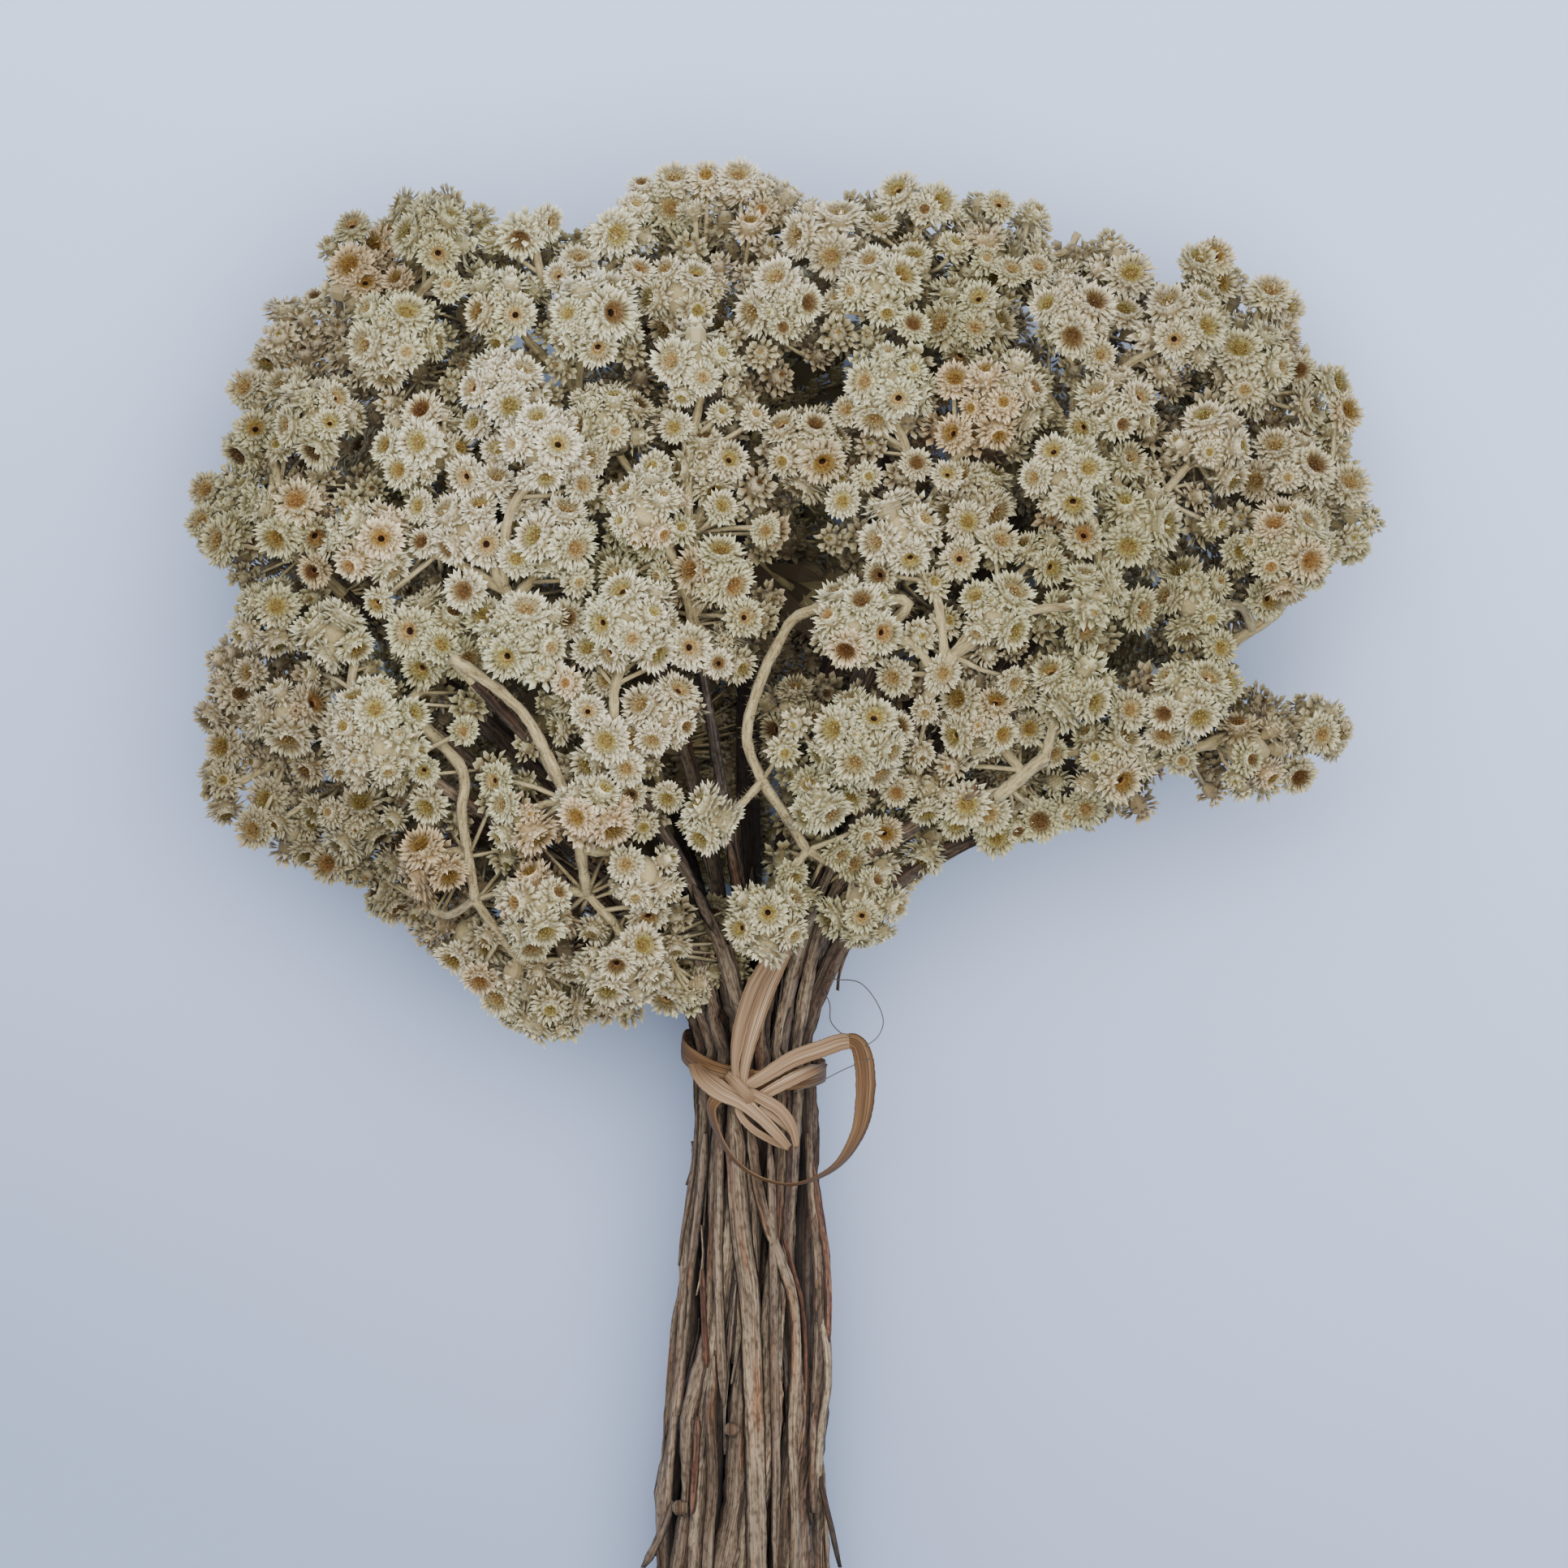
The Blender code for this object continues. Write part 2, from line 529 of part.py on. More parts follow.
def clump(name, path, radius, facing, draw, collection, finish):
    """Clump of flower heads with its branch: five-sided cups on a core that tapers to a stalk."""
    small = radius < SMALL_CLUMP
    solid = bmesh.new()
    for point in core_points(radius, small):
        solid.verts.new(point)
    bmesh.ops.convex_hull(solid, input=solid.verts)
    bmesh.ops.dissolve_limit(solid, angle_limit=math.radians(1.0), verts=solid.verts, edges=solid.edges)
    heads = [face for face in solid.faces if len(face.verts) == 5 and face.normal.z > -0.9]
    neck = min(solid.faces, key=lambda face: face.calc_center_median().z)
    bmesh.ops.inset_individual(
        solid, faces=heads, thickness=HEAD_INSET * radius, depth=HEAD_RISE * radius, use_even_offset=True
    )
    for head in heads:
        middle = head.calc_center_median()
        lift = middle.normalized() * radius * draw.uniform(-HEAD_UNEVEN, HEAD_UNEVEN)
        flare = HEAD_FLARE + draw.uniform(-HEAD_UNEVEN, HEAD_UNEVEN)
        for corner in head.verts:
            corner.co = middle + (corner.co - middle) * flare + lift
    bmesh.ops.poke(solid, faces=heads, offset=-HEAD_DIMPLE * radius)
    turn = Vector(facing).to_track_quat("Z", "Y").to_matrix().to_4x4()
    spin = Matrix.Rotation(draw.uniform(0.0, math.tau), 4, "Z")
    centre = path[-1] + facing * radius * CORE_SHARE
    solid.transform(Matrix.Translation(Vector(centre)) @ turn @ spin)
    for before, after in zip(path[:0:-1], path[-2::-1]):
        grown = bmesh.ops.extrude_discrete_faces(solid, faces=[neck])["faces"][0]
        bend = Vector(neck_facing(grown)).rotation_difference(Vector(after - before))
        for corner in grown.verts:
            corner.co = Vector(after) + bend @ (corner.co - Vector(before))
        neck = grown
    solid.transform(Matrix.Scale(MM, 4))
    bmesh.ops.recalc_face_normals(solid, faces=solid.faces)
    mesh = bpy.data.meshes.new(name)
    solid.to_mesh(mesh)
    solid.free()
    return add_object(name, mesh, collection, finish)


def bodies_of(solid):
    """The separate bodies of a mesh, as sets of faces."""
    unseen = set(solid.faces)
    bodies = []
    while unseen:
        body, waiting = set(), [unseen.pop()]
        while waiting:
            face = waiting.pop()
            body.add(face)
            near = {other for edge in face.edges for other in edge.link_faces} & unseen
            unseen -= near
            waiting.extend(near)
        bodies.append(body)
    return bodies


def cleaned(mesh, cut):
    """A union's largest body in triangles, or None where that leaves an open or shared edge."""
    solid = bmesh.new()
    solid.from_mesh(mesh)
    bmesh.ops.remove_doubles(solid, verts=solid.verts, dist=WELD)
    bmesh.ops.triangulate(solid, faces=solid.faces, ngon_method=cut)
    bmesh.ops.dissolve_degenerate(solid, edges=solid.edges, dist=WELD)
    bodies = bodies_of(solid)
    largest = max(bodies, key=lambda body: sum(face.calc_area() for face in body))
    dropped = [face for body in bodies if body is not largest for face in body]
    bmesh.ops.delete(solid, geom=dropped, context="FACES")
    closed = all(len(edge.link_faces) == 2 for edge in solid.edges)
    made = bpy.data.meshes.new(mesh.name)
    solid.to_mesh(made)
    solid.free()
    return made if closed else None


def fuse(name, pieces, surface, collection, finish):
    """One solid from a collection of pieces, cut flat at the surface, or None if it doesn't close."""
    base = pieces.objects[0]
    pieces.objects.unlink(base)
    collection.objects.link(base)
    join = base.modifiers.new("join", "BOOLEAN")
    join.operation = "UNION"
    join.operand_type = "COLLECTION"
    join.collection = pieces
    press = base.modifiers.new("press", "BOOLEAN")
    press.operation = "DIFFERENCE"
    press.object = surface
    for solver, cut in itertools.product(("EXACT", "MANIFOLD"), ("BEAUTY", "EAR_CLIP")):
        join.solver = press.solver = solver
        bpy.context.view_layer.update()
        graph = bpy.context.evaluated_depsgraph_get()
        mesh = cleaned(bpy.data.meshes.new_from_object(base.evaluated_get(graph)), cut)
        if mesh:
            break
    for obj in [base, *pieces.objects]:
        bpy.data.objects.remove(obj)
    bpy.data.collections.remove(pieces)
    return add_object(name, mesh, collection, finish) if mesh else None


def make_surface_cutter():
    """Block under the surface that the bunch lies on, which presses the lowest heads flat."""
    cutters = bpy.data.collections.new("cutters")
    bpy.context.scene.collection.children.link(cutters)
    bpy.ops.mesh.primitive_cube_add(size=1.0, location=(0.0, 0.0, -SURFACE_DEPTH / 2.0))
    cutter = bpy.context.object
    cutter.name = "surface_cutter"
    cutter.scale = (SURFACE_SIZE, SURFACE_SIZE, SURFACE_DEPTH)
    for collection in list(cutter.users_collection):
        collection.objects.unlink(cutter)
    cutters.objects.link(cutter)
    cutter.hide_render = True
    cutter.display_type = "WIRE"
    return cutter


def make_corymb(layout, i, surface, bunch, finish):
    """Pale stalks and clumps of one spray, fused into one solid. A draw that doesn't close is redrawn."""
    name = layout.names[i]
    for attempt in itertools.count():
        draw = random.Random(f"{SEED} {name} {attempt}")
        pieces = bpy.data.collections.new(f"{name}_pieces")
        bpy.context.scene.collection.children.link(pieces)
        stalk = layout.stalks[i]
        main = tube(f"{name}_stalk", stalk, [STALK_RADIUS] * len(stalk), 0, pieces, finish)
        made_mesh(main, pieces)
        for k in np.flatnonzero(layout.owner == i):
            path = layout.branches[k]
            facing = layout.facing(k, path[0])
            clump(f"{name}_clump_{k}", path, layout.radius[k], facing, draw, pieces, finish)
        made = fuse(f"corymb_{name}", pieces, surface, bunch, finish)
        if made:
            return made


def make_stem(layout, i, bunch, finish):
    """Woody stem of one spray."""
    path = layout.stems[i]
    radii = [stem_radius(point[1]) for point in path]
    return tube(f"stem_{layout.names[i]}", path, radii, 1, bunch, finish)


def make_band(bunch, finish):
    """Raffia band round the bundle, leaning from its left side down to the knot."""
    x, _, z = bundle_axis(BAND_MIDDLE_Y)
    radius = np.interp(BAND_MIDDLE_Y, BUNDLE_Y, BUNDLE_RADIUS) + BAND_CLEARANCE + RAFFIA_THICKNESS / 2
    path = []
    for angle in np.linspace(0.0, math.tau, BAND_POINTS, endpoint=False):
        lean = BAND_LEAN[0] * math.cos(angle) + BAND_LEAN[1] * math.sin(angle)
        path.append((radius * math.cos(angle), radius * math.sin(angle), lean))
    band = strap("raffia_band", path, [0.0] * len(path), bunch, finish, cyclic=True)
    band.location = Vector((x, BAND_MIDDLE_Y, z)) * MM
    band.rotation_euler = (math.radians(90.0), 0.0, 0.0)


def make_bow(surface, bunch, finish):
    """Knot, loop, upright strips and tails of the raffia, fused into one solid."""
    pieces = bpy.data.collections.new("bow_pieces")
    bpy.context.scene.collection.children.link(pieces)
    mesh = bpy.data.meshes.new("knot")
    knot = bmesh.new()
    bmesh.ops.create_icosphere(knot, subdivisions=2, radius=1.0)
    knot.transform(Matrix.Translation(Vector(KNOT_PLACE) * MM) @ Matrix.Diagonal((*KNOT_SIZE, 1.0 / MM)) * MM)
    knot.to_mesh(mesh)
    knot.free()
    add_object("knot", mesh, pieces, finish)
    for name, points in BOW_STRIPS.items():
        strip = strap(name, [point[:3] for point in points], [point[3] for point in points], pieces, finish)
        made_mesh(strip, pieces)
    fuse("raffia_bow", pieces, surface, bunch, finish)


def stand_on_origin(bunch):
    """Moves the whole bunch so that the origin is under its middle, on the surface."""
    bpy.context.view_layer.update()
    graph = bpy.context.evaluated_depsgraph_get()
    points = []
    for obj in bunch.objects:
        mesh = bpy.data.meshes.new_from_object(obj.evaluated_get(graph))
        points += [obj.matrix_world @ corner.co for corner in mesh.vertices]
        bpy.data.meshes.remove(mesh)
    points = np.array(points)
    middle = (points.min(axis=0) + points.max(axis=0)) / 2.0
    for obj in bunch.objects:
        obj.location -= Vector((middle[0], middle[1], points[:, 2].min()))


def main():
    for obj in list(bpy.data.objects):
        bpy.data.objects.remove(obj)
    bunch = bpy.data.collections.new("dried_edelweiss")
    bpy.context.scene.collection.children.link(bunch)
    wood = material("stem_wood", STEM_COLOUR, 0.85)
    flower = material("flower_wool", FLOWER_COLOUR, 0.95)
    surface = make_surface_cutter()
    raffia = material("raffia", RAFFIA_COLOUR, 0.6)
    make_band(bunch, raffia)
    make_bow(surface, bunch, raffia)
    layout = Layout()
    for i in range(len(layout.names)):
        make_stem(layout, i, bunch, wood)
        make_corymb(layout, i, surface, bunch, flower)
    stand_on_origin(bunch)


main()
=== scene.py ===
"""Dresses a tied bunch of dried edelweiss: flower heads, woolly stalks, ridged stems and raffia.

Places in the tables are in millimetres from the middle of the tie, with Y along the bunch towards
the flowers and Z up from the surface that it lies on.
"""

import json
import math
from typing import NamedTuple

import bpy
import numpy as np
from bpy.props import FloatProperty, FloatVectorProperty, PointerProperty
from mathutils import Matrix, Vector

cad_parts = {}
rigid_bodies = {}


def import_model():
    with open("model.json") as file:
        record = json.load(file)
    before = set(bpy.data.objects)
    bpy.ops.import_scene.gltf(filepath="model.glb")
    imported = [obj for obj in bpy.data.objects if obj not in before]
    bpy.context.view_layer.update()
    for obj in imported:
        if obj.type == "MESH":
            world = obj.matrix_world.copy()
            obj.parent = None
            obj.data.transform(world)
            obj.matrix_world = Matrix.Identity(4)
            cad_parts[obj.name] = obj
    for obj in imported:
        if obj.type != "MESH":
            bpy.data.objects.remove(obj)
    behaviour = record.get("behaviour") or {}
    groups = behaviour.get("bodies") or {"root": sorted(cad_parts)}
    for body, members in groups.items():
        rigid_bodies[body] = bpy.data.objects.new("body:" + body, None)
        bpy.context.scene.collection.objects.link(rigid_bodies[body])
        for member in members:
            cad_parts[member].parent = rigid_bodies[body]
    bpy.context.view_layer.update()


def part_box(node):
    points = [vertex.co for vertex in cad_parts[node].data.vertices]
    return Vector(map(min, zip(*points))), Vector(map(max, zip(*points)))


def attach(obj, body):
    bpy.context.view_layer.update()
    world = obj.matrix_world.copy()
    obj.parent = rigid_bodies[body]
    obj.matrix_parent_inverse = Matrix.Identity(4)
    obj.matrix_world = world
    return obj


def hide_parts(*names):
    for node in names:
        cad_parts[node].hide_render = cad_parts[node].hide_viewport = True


bl_info = {
    "name": "Dried edelweiss bunch",
    "version": (1, 0, 0),
    "blender": (4, 5, 0),
    "location": "3D View > Sidebar > Edelweiss",
    "description": "Flower heads, stalks, stems and raffia tie of a dried edelweiss bunch",
    "category": "Object",
}

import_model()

MM = 0.001
BODY = "root"
SEED = 11

# Clear space between sprays, share of a clump's radius behind its centre where its branch ends, and
# how far a clump may be pressed into the surface
GAP = 0.35
CORE_SHARE = 0.7
PRESSED = 1.2

# Crown: how far it reaches from its centre in each direction (degrees, millimetres)
CROWN_CENTRE = (3.0, 80.0)
CROWN_REACH = (
    (0, 97), (30, 96), (54, 76), (90, 69), (108, 71), (131, 86), (152, 95), (195, 96),
    (217, 85), (243, 82), (272, 61), (300, 53), (323, 63), (343, 95), (360, 97),
)
CROWN_MID = 36.0
CROWN_HALF_SIZE = (95.0, 70.0, 42.0)
CROWN_RISE = 43.0
CROWN_SAG = 38.0
UNDER_FULLNESS = 1.15

# Bundle of stems: axis and radius at each distance along Y
BUNDLE_Y = (-96.0, -60.0, -30.0, 0.0, 20.0, 40.0)
BUNDLE_X = (-5.0, -4.0, -2.0, -1.8, 0.0, 1.0)
BUNDLE_Z = (14.5, 19.5, 24.3, 28.7, 31.5, 34.0)
BUNDLE_RADIUS = (14.3, 13.2, 11.4, 9.9, 11.2, 13.0)
BUNDLE_TWIST = 24.0
CUT_Y = -96.0
FAN_START = 7.0
FAN_SOFTNESS = 22.0
STEM_RINGS = ((4, 0.265), (9, 0.63), (16, 1.0))
STEM_RADIUS = 1.4
STEM_TIP_RADIUS = 1.1
STEM_TAPER = 25.0
STEM_STATIONS = (CUT_Y, -45.0, -2.0, 8.0)
STEM_FAN_POINTS = 3

# Corymbs: pale woolly stalks that end in clumps of flower heads
STALK_RADIUS = 1.25
STALK_LENGTH = 9.0
STALK_TURN = 5.0
BRANCH_RADIUS = 0.95
BRANCH_BEND = 0.18
BRANCH_ROOTS = (0.4, 0.95)
HUB_DEPTH = 25.0
LOWEST_HUB = (48.0, 25.0)
MOST_SLANT = 1.0
SHORT_BRANCH = 12.0

# Settling: how the clumps and stems are moved until none of them touch
SETTLE_STEPS = 300
REGROW_EVERY = 5
PUSH_SHARE = 0.5
STEP_SHARE = 0.6
PULL_BACK = 0.04
PULL_UNTIL = 0.7
SAME_SPRAY_NEARNESS = 1.02
MOST_SHIFT = 9.0
TINY = 1e-6

# Front sprays as they show from above: each clump is x, y and radius, and its lift over the crown's
# dome if it has one
FRONT_SPRAYS = (
    ("top_left", ((-57, 137, 8), (-65, 128, 8.5), (-49, 131, 8, 2), (-57, 120, 9))),
    ("left", ((-76, 119, 8), (-82, 107, 7.5), (-70, 106, 8.5), (-85, 92, 8), (-73, 90, 8), (-79, 76, 8))),
    ("top_centre_left", ((-36, 137, 6.5), (-25, 136, 8), (-40, 124, 8.5), (-27, 122, 8.5))),
    ("top_centre", ((-13, 141, 8), (-1, 141, 8), (-12, 127, 8.5), (2, 127, 8))),
    ("bright_left", ((-54, 104, 9.5), (-41, 109, 8), (-60, 90, 8.5), (-34, 97, 8, 3), (-33, 86, 7.5, 3),
        (-47, 89, 7.5))),
    ("inner_left", ((-26, 108, 9), (-12, 112, 8.5), (-9, 99, 7, -2), (-18, 91, 8, 2), (-11, 80, 7),
        (-5, 69, 6, -6))),
    ("front_left", ((-38, 71, 8.5, 2), (-26, 72, 9, 3), (-17, 63, 7.5), (-34, 59, 7))),
    ("low_left", ((-58, 61, 10, 3), (-51, 77, 9.5, 1), (-66, 73, 7))),
    ("far_left", ((-87, 62, 7.5), (-76, 60, 7.5), (-87, 47, 7), (-77, 42, 7), (-66, 42, 7))),
    ("hanging_left", ((-53, 36, 6.5, 4), (-61, 30, 5), (-46, 23, 8.5, 2), (-35, 14, 8, 2))),
    ("hanging_inner", ((-37, 42, 6.5, 4), (-26, 46, 7.5, 6), (-19, 35, 7.5, 2), (-34, 29, 8, 6),
        (-23, 21, 8.5, 6), (-14, 17, 6.5, 2))),
    ("top_right", ((13, 137, 8), (25, 138, 8), (37, 136, 8.5), (19, 124, 8), (48, 136, 6))),
    ("upper_right", ((57, 131, 6.5), (48, 122, 8.5), (62, 119, 8.5), (33, 121, 8.5))),
    ("corner_right", ((72, 130, 5.5), (81, 127, 5, 4), (75, 115, 8.5), (87, 115, 7.5))),
    ("right", ((93, 104, 7.5), (82, 101, 8.5), (95, 90, 7.5), (80, 86, 9, 4), (69, 80, 8),
        (89, 77, 6.5))),
    ("inner_right", ((69, 101, 8.5), (57, 105, 8.5), (62, 91, 8.5), (47, 97, 8))),
    ("centre_right", ((8, 104, 8.5, -2), (20, 110, 8.5), (35, 108, 9), (32, 94, 7.5, -2))),
    ("front_right", ((38, 77, 7.5, 3), (50, 76, 6.5, 3), (45, 86, 5.5), (18, 79, 8.5), (25, 88, 8))),
    ("hanging_centre", ((3, 27, 8.3, 15), (15, 30, 8.3, 14), (23, 35, 5.5, 8), (-8, 43, 6, 8),
        (9, 45, 5, 12))),
    ("low_centre", ((8, 59, 7, -8), (22, 56, 9), (21, 44, 7, -6))),
    ("low_right", ((35, 60, 8.5), (47, 62, 8), (57, 57, 8.5))),
    ("back_low_right", ((37, 46, 7.5, -6), (50, 47, 7, -6))),
    ("corner_low_right", ((78, 54, 8.5), (89, 58, 7.5), (67, 66, 8), (78, 68, 6))),
)

# Stalks that hang down over the front of the bunch, as x, y and z from the stem's tip on
HANGING_STALKS = {
    "hanging_centre": ((14, 79, 60), (7, 76, 63), (2, 70, 64), (-1, 63, 64), (-2.5, 56, 63), (0, 49, 62),
        (4, 43, 60), (7, 38, 58)),
    "hanging_inner": ((-41, 65, 60), (-39, 61, 67), (-34, 53, 68), (-31, 46, 66), (-29, 38, 63),
        (-28, 31, 58)),
    "hanging_left": ((-46, 57, 52), (-48, 51, 57), (-48, 44, 58), (-47, 37, 55), (-46, 30, 52)),
}

# Underside sprays: clumps on an even grid, each belonging to the nearest of these places
UNDER_SPRAYS = (
    ("under_left", (-55, 70)), ("under_upper_left", (-45, 106)), ("under_low", (-12, 50)),
    ("under_top", (2, 112)), ("under_upper_right", (52, 106)), ("under_right", (38, 66)),
)
UNDER_RADIUS = 11.0
UNDER_STEP = 26.0
UNDER_REACH = 0.84


def crown_reach(x, y):
    """Distance from the crown's centre to its outline in the direction of a point."""
    angle = math.degrees(math.atan2(y - CROWN_CENTRE[1], x - CROWN_CENTRE[0])) % 360
    return float(np.interp(angle, *zip(*CROWN_REACH)))


def crown_fraction(x, y, radius):
    """0 at the crown's centre and 1 where a clump of this radius touches the outline."""
    away = math.hypot(x - CROWN_CENTRE[0], y - CROWN_CENTRE[1])
    return min(1.0, away / (crown_reach(x, y) - radius))


def crown_dome(x, y, radius):
    """1 at the crown's centre and 0 at its outline, on a round dome between them."""
    return math.sqrt(1.0 - crown_fraction(x, y, radius) ** 2)


def front_height(x, y, radius):
    """Height of a clump's centre on the crown's upper dome."""
    return CROWN_MID + (CROWN_RISE - radius) * crown_dome(x, y, radius)


def under_height(x, y, radius):
    """Height of a clump's centre on the crown's underside, which the surface flattens."""
    sag = (CROWN_SAG - radius) * crown_dome(x, y, radius)
    return max(radius - PRESSED, CROWN_MID - sag * UNDER_FULLNESS)


def bundle_axis(y):
    """Middle of the bundle of stems at a distance along Y."""
    return np.array([np.interp(y, BUNDLE_Y, BUNDLE_X), y, np.interp(y, BUNDLE_Y, BUNDLE_Z)])


def under_clumps():
    """Even grid of clumps inside the crown's outline, alternate rows shifted by half a step."""
    clumps = []
    row_step = UNDER_STEP * math.sqrt(0.75)
    for row in range(-4, 5):
        for column in range(-5, 6):
            x = CROWN_CENTRE[0] + (column + 0.5 * (row % 2)) * UNDER_STEP
            y = CROWN_CENTRE[1] + row * row_step
            if crown_fraction(x, y, UNDER_RADIUS) < UNDER_REACH:
                clumps.append((x, y))
    return clumps


def all_clumps():
    """Spray number, target place and radius of every clump, and the sprays' names."""
    names, owner, place, radius = [], [], [], []
    for name, clumps in FRONT_SPRAYS:
        for x, y, r, *lift in clumps:
            owner.append(len(names))
            place.append((x, y, front_height(x, y, r) + sum(lift)))
            radius.append(r)
        names.append(name)
    first_under = len(names)
    centres = np.array([centre for _, centre in UNDER_SPRAYS])
    for x, y in under_clumps():
        nearest = int(np.argmin(np.hypot(*(centres - (x, y)).T)))
        owner.append(first_under + nearest)
        place.append((x, y, under_height(x, y, UNDER_RADIUS)))
        radius.append(UNDER_RADIUS)
    names += [name for name, _ in UNDER_SPRAYS]
    return names, np.array(owner), np.array(place, float), np.array(radius, float)


def fan(distance):
    """How far a stem has swung from the bundle's direction, gently at first and then steadily."""
    distance = np.maximum(distance - FAN_START, 0.0)
    return distance - FAN_SOFTNESS * (1.0 - np.exp(-distance / FAN_SOFTNESS))


def bundle_slots():
    """Places of the stems across the tie, in rings on a disc of radius 1."""
    slots = []
    for count, ring in STEM_RINGS:
        for angle in np.arange(count) * math.tau / count + ring:
            slots.append((ring * math.cos(angle), ring * math.sin(angle)))
    return np.array(slots)


def assign_slots(swing):
    """Gives each stem the slot on its own side of the bundle, so that no two stems cross."""
    slots = bundle_slots()[: len(swing)]
    order = list(range(len(swing)))
    swapped = True
    while swapped:
        swapped = False
        for i in range(len(order)):
            for j in range(i + 1, len(order)):
                gain = np.dot(slots[order[i]] - slots[order[j]], swing[j] - swing[i])
                if gain > TINY:
                    order[i], order[j] = order[j], order[i]
                    swapped = True
    return slots[order]


def unit(vector):
    """The same direction with a length of 1."""
    return vector / np.linalg.norm(vector)


def outward_from_crown(place):
    """Direction that faces out of the crown at a place."""
    away = np.array(place) - (*CROWN_CENTRE, CROWN_MID)
    return unit(away / np.array(CROWN_HALF_SIZE) ** 2)


def nearest_between(starts, spans, others, other_spans):
    """Vectors between the nearest points of every pair of straight stretches."""
    offset = starts[:, None] - others[None]
    a = (spans * spans).sum(axis=1)[:, None]
    e = (other_spans * other_spans).sum(axis=1)[None]
    b = spans @ other_spans.T
    c = (spans[:, None] * offset).sum(axis=2)
    f = (other_spans[None] * offset).sum(axis=2)
    along = np.clip((b * f - c * e) / np.maximum(a * e - b * b, TINY), 0.0, 1.0)
    other_along = np.clip((b * along + f) / e, 0.0, 1.0)
    along = np.clip((b * other_along - c) / a, 0.0, 1.0)
    return offset + spans[:, None] * along[..., None] - other_spans[None] * other_along[..., None]


def stretches(lines):
    """Start, span and label of every straight stretch of paths that come with a label."""
    starts, spans, labels = [], [], []
    for label, path in lines:
        starts += list(path[:-1])
        spans += list(np.diff(path, axis=0))
        labels += [label] * (len(path) - 1)
    return np.array(starts), np.array(spans), np.array(labels)


class Layout:
    """Places of all clumps, stems and stalks, settled so that no two sprays touch."""

    def __init__(self):
        self.names, self.owner, self.target, self.radius = all_clumps()
        self.place = self.target.copy()
        self.shift = np.zeros((len(self.names), 3))
        self.grow()
        for step in range(SETTLE_STEPS):
            self.push_clumps(step)
            if (step + 1) % REGROW_EVERY == 0:
                self.push_stems()
                self.grow()

    def grow(self):
        """Works out each stem, stalk and branch from the clumps' present places."""
        tie = bundle_axis(0.0)
        hubs = []
        for i, name in enumerate(self.names):
            away = self.place[self.owner == i].mean(axis=0) - tie
            reach = np.linalg.norm(away)
            hub = tie + away * (reach - HUB_DEPTH) / reach
            hub[1:] = np.maximum(hub[1:], LOWEST_HUB)
            hub[0] = np.clip(hub[0], -MOST_SLANT * hub[1], MOST_SLANT * hub[1])
            hubs.append(HANGING_STALKS[name][0] if name in HANGING_STALKS else hub)
        hubs = np.array(hubs, float) + self.shift
        swing = (hubs - tie)[:, [0, 2]] / fan(hubs[:, 1])[:, None]
        slots = assign_slots(swing)
        self.stems = [self.stem_path(*spray) for spray in zip(slots, swing, hubs[:, 1])]
        self.stalks = [self.stalk_path(i) for i in range(len(self.names))]
        self.branches = [None] * len(self.radius)
        for i in range(len(self.names)):
            self.add_branches(i)

    def stem_path(self, slot, swing, hub_y):
        """Centre line of a stem from its cut end through the tie to its tip."""
        beyond = np.linspace(STEM_STATIONS[-1], hub_y, STEM_FAN_POINTS + 1)[1:]
        path = []
        for y in (*STEM_STATIONS, *beyond):
            inner = min(y, 0.0)
            turn = math.radians(BUNDLE_TWIST) * inner / CUT_Y
            spin = np.array([[math.cos(turn), -math.sin(turn)], [math.sin(turn), math.cos(turn)]])
            spread = np.interp(inner, BUNDLE_Y, BUNDLE_RADIUS) - stem_radius(inner)
            point = bundle_axis(inner)
            point[[0, 2]] += spin @ slot * spread + swing * fan(y)
            point[1] = y
            path.append(point)
        return np.array(path)

    def stalk_path(self, i):
        """Main stalk of a corymb: a short run on from the stem, or the whole of a hanging stalk."""
        tip = self.stems[i][-1]
        along = tip - self.stems[i][-2]
        along /= np.linalg.norm(along)
        foot = tip + along * GAP
        rest = HANGING_STALKS.get(self.names[i], (None,))[1:]
        return np.array([foot, foot + along * (STALK_TURN if rest else STALK_LENGTH), *rest], float)

    def add_branches(self, i):
        """Branches of a spray, from places in turn along its stalk to each clump's back."""
        stalk = self.stalks[i]
        members = np.flatnonzero(self.owner == i)
        run = stalk[-1] - stalk[0]
        order = members[np.argsort((self.place[members] - stalk[0]) @ run)]
        for turn, k in enumerate(order):
            if len(stalk) == 2:
                root = stalk[0] + run * np.interp(turn, (0, len(members) - 1), BRANCH_ROOTS)
            else:
                joints = stalk[2:]
                root = joints[np.argmin(np.linalg.norm(joints - self.place[k], axis=1))]
            facing = self.facing(k, root)
            back = self.place[k] - facing * self.radius[k] * CORE_SHARE
            reach = np.linalg.norm(back - root)
            bend = (root + back) / 2.0 + unit(run) * reach * BRANCH_BEND
            self.branches[k] = np.array([root, back] if reach < SHORT_BRANCH else [root, bend, back])

    def facing(self, k, root):
        """Direction in which a clump's heads face: away from its root and out of the crown."""
        away = self.place[k] - root
        return unit(unit(away) + outward_from_crown(self.place[k]))

    def segments(self):
        """Every straight stretch of stem, stalk and branch: start, span, radius and spray."""
        lines = [((STALK_RADIUS, i), path) for i, path in enumerate(self.stalks)]
        lines += [((BRANCH_RADIUS, self.owner[k]), path) for k, path in enumerate(self.branches)]
        lines += [((STEM_TIP_RADIUS, i), path) for i, path in enumerate(self.stems)]
        starts, spans, labels = stretches(lines)
        return starts, spans, labels[:, 0], labels[:, 1].astype(int)

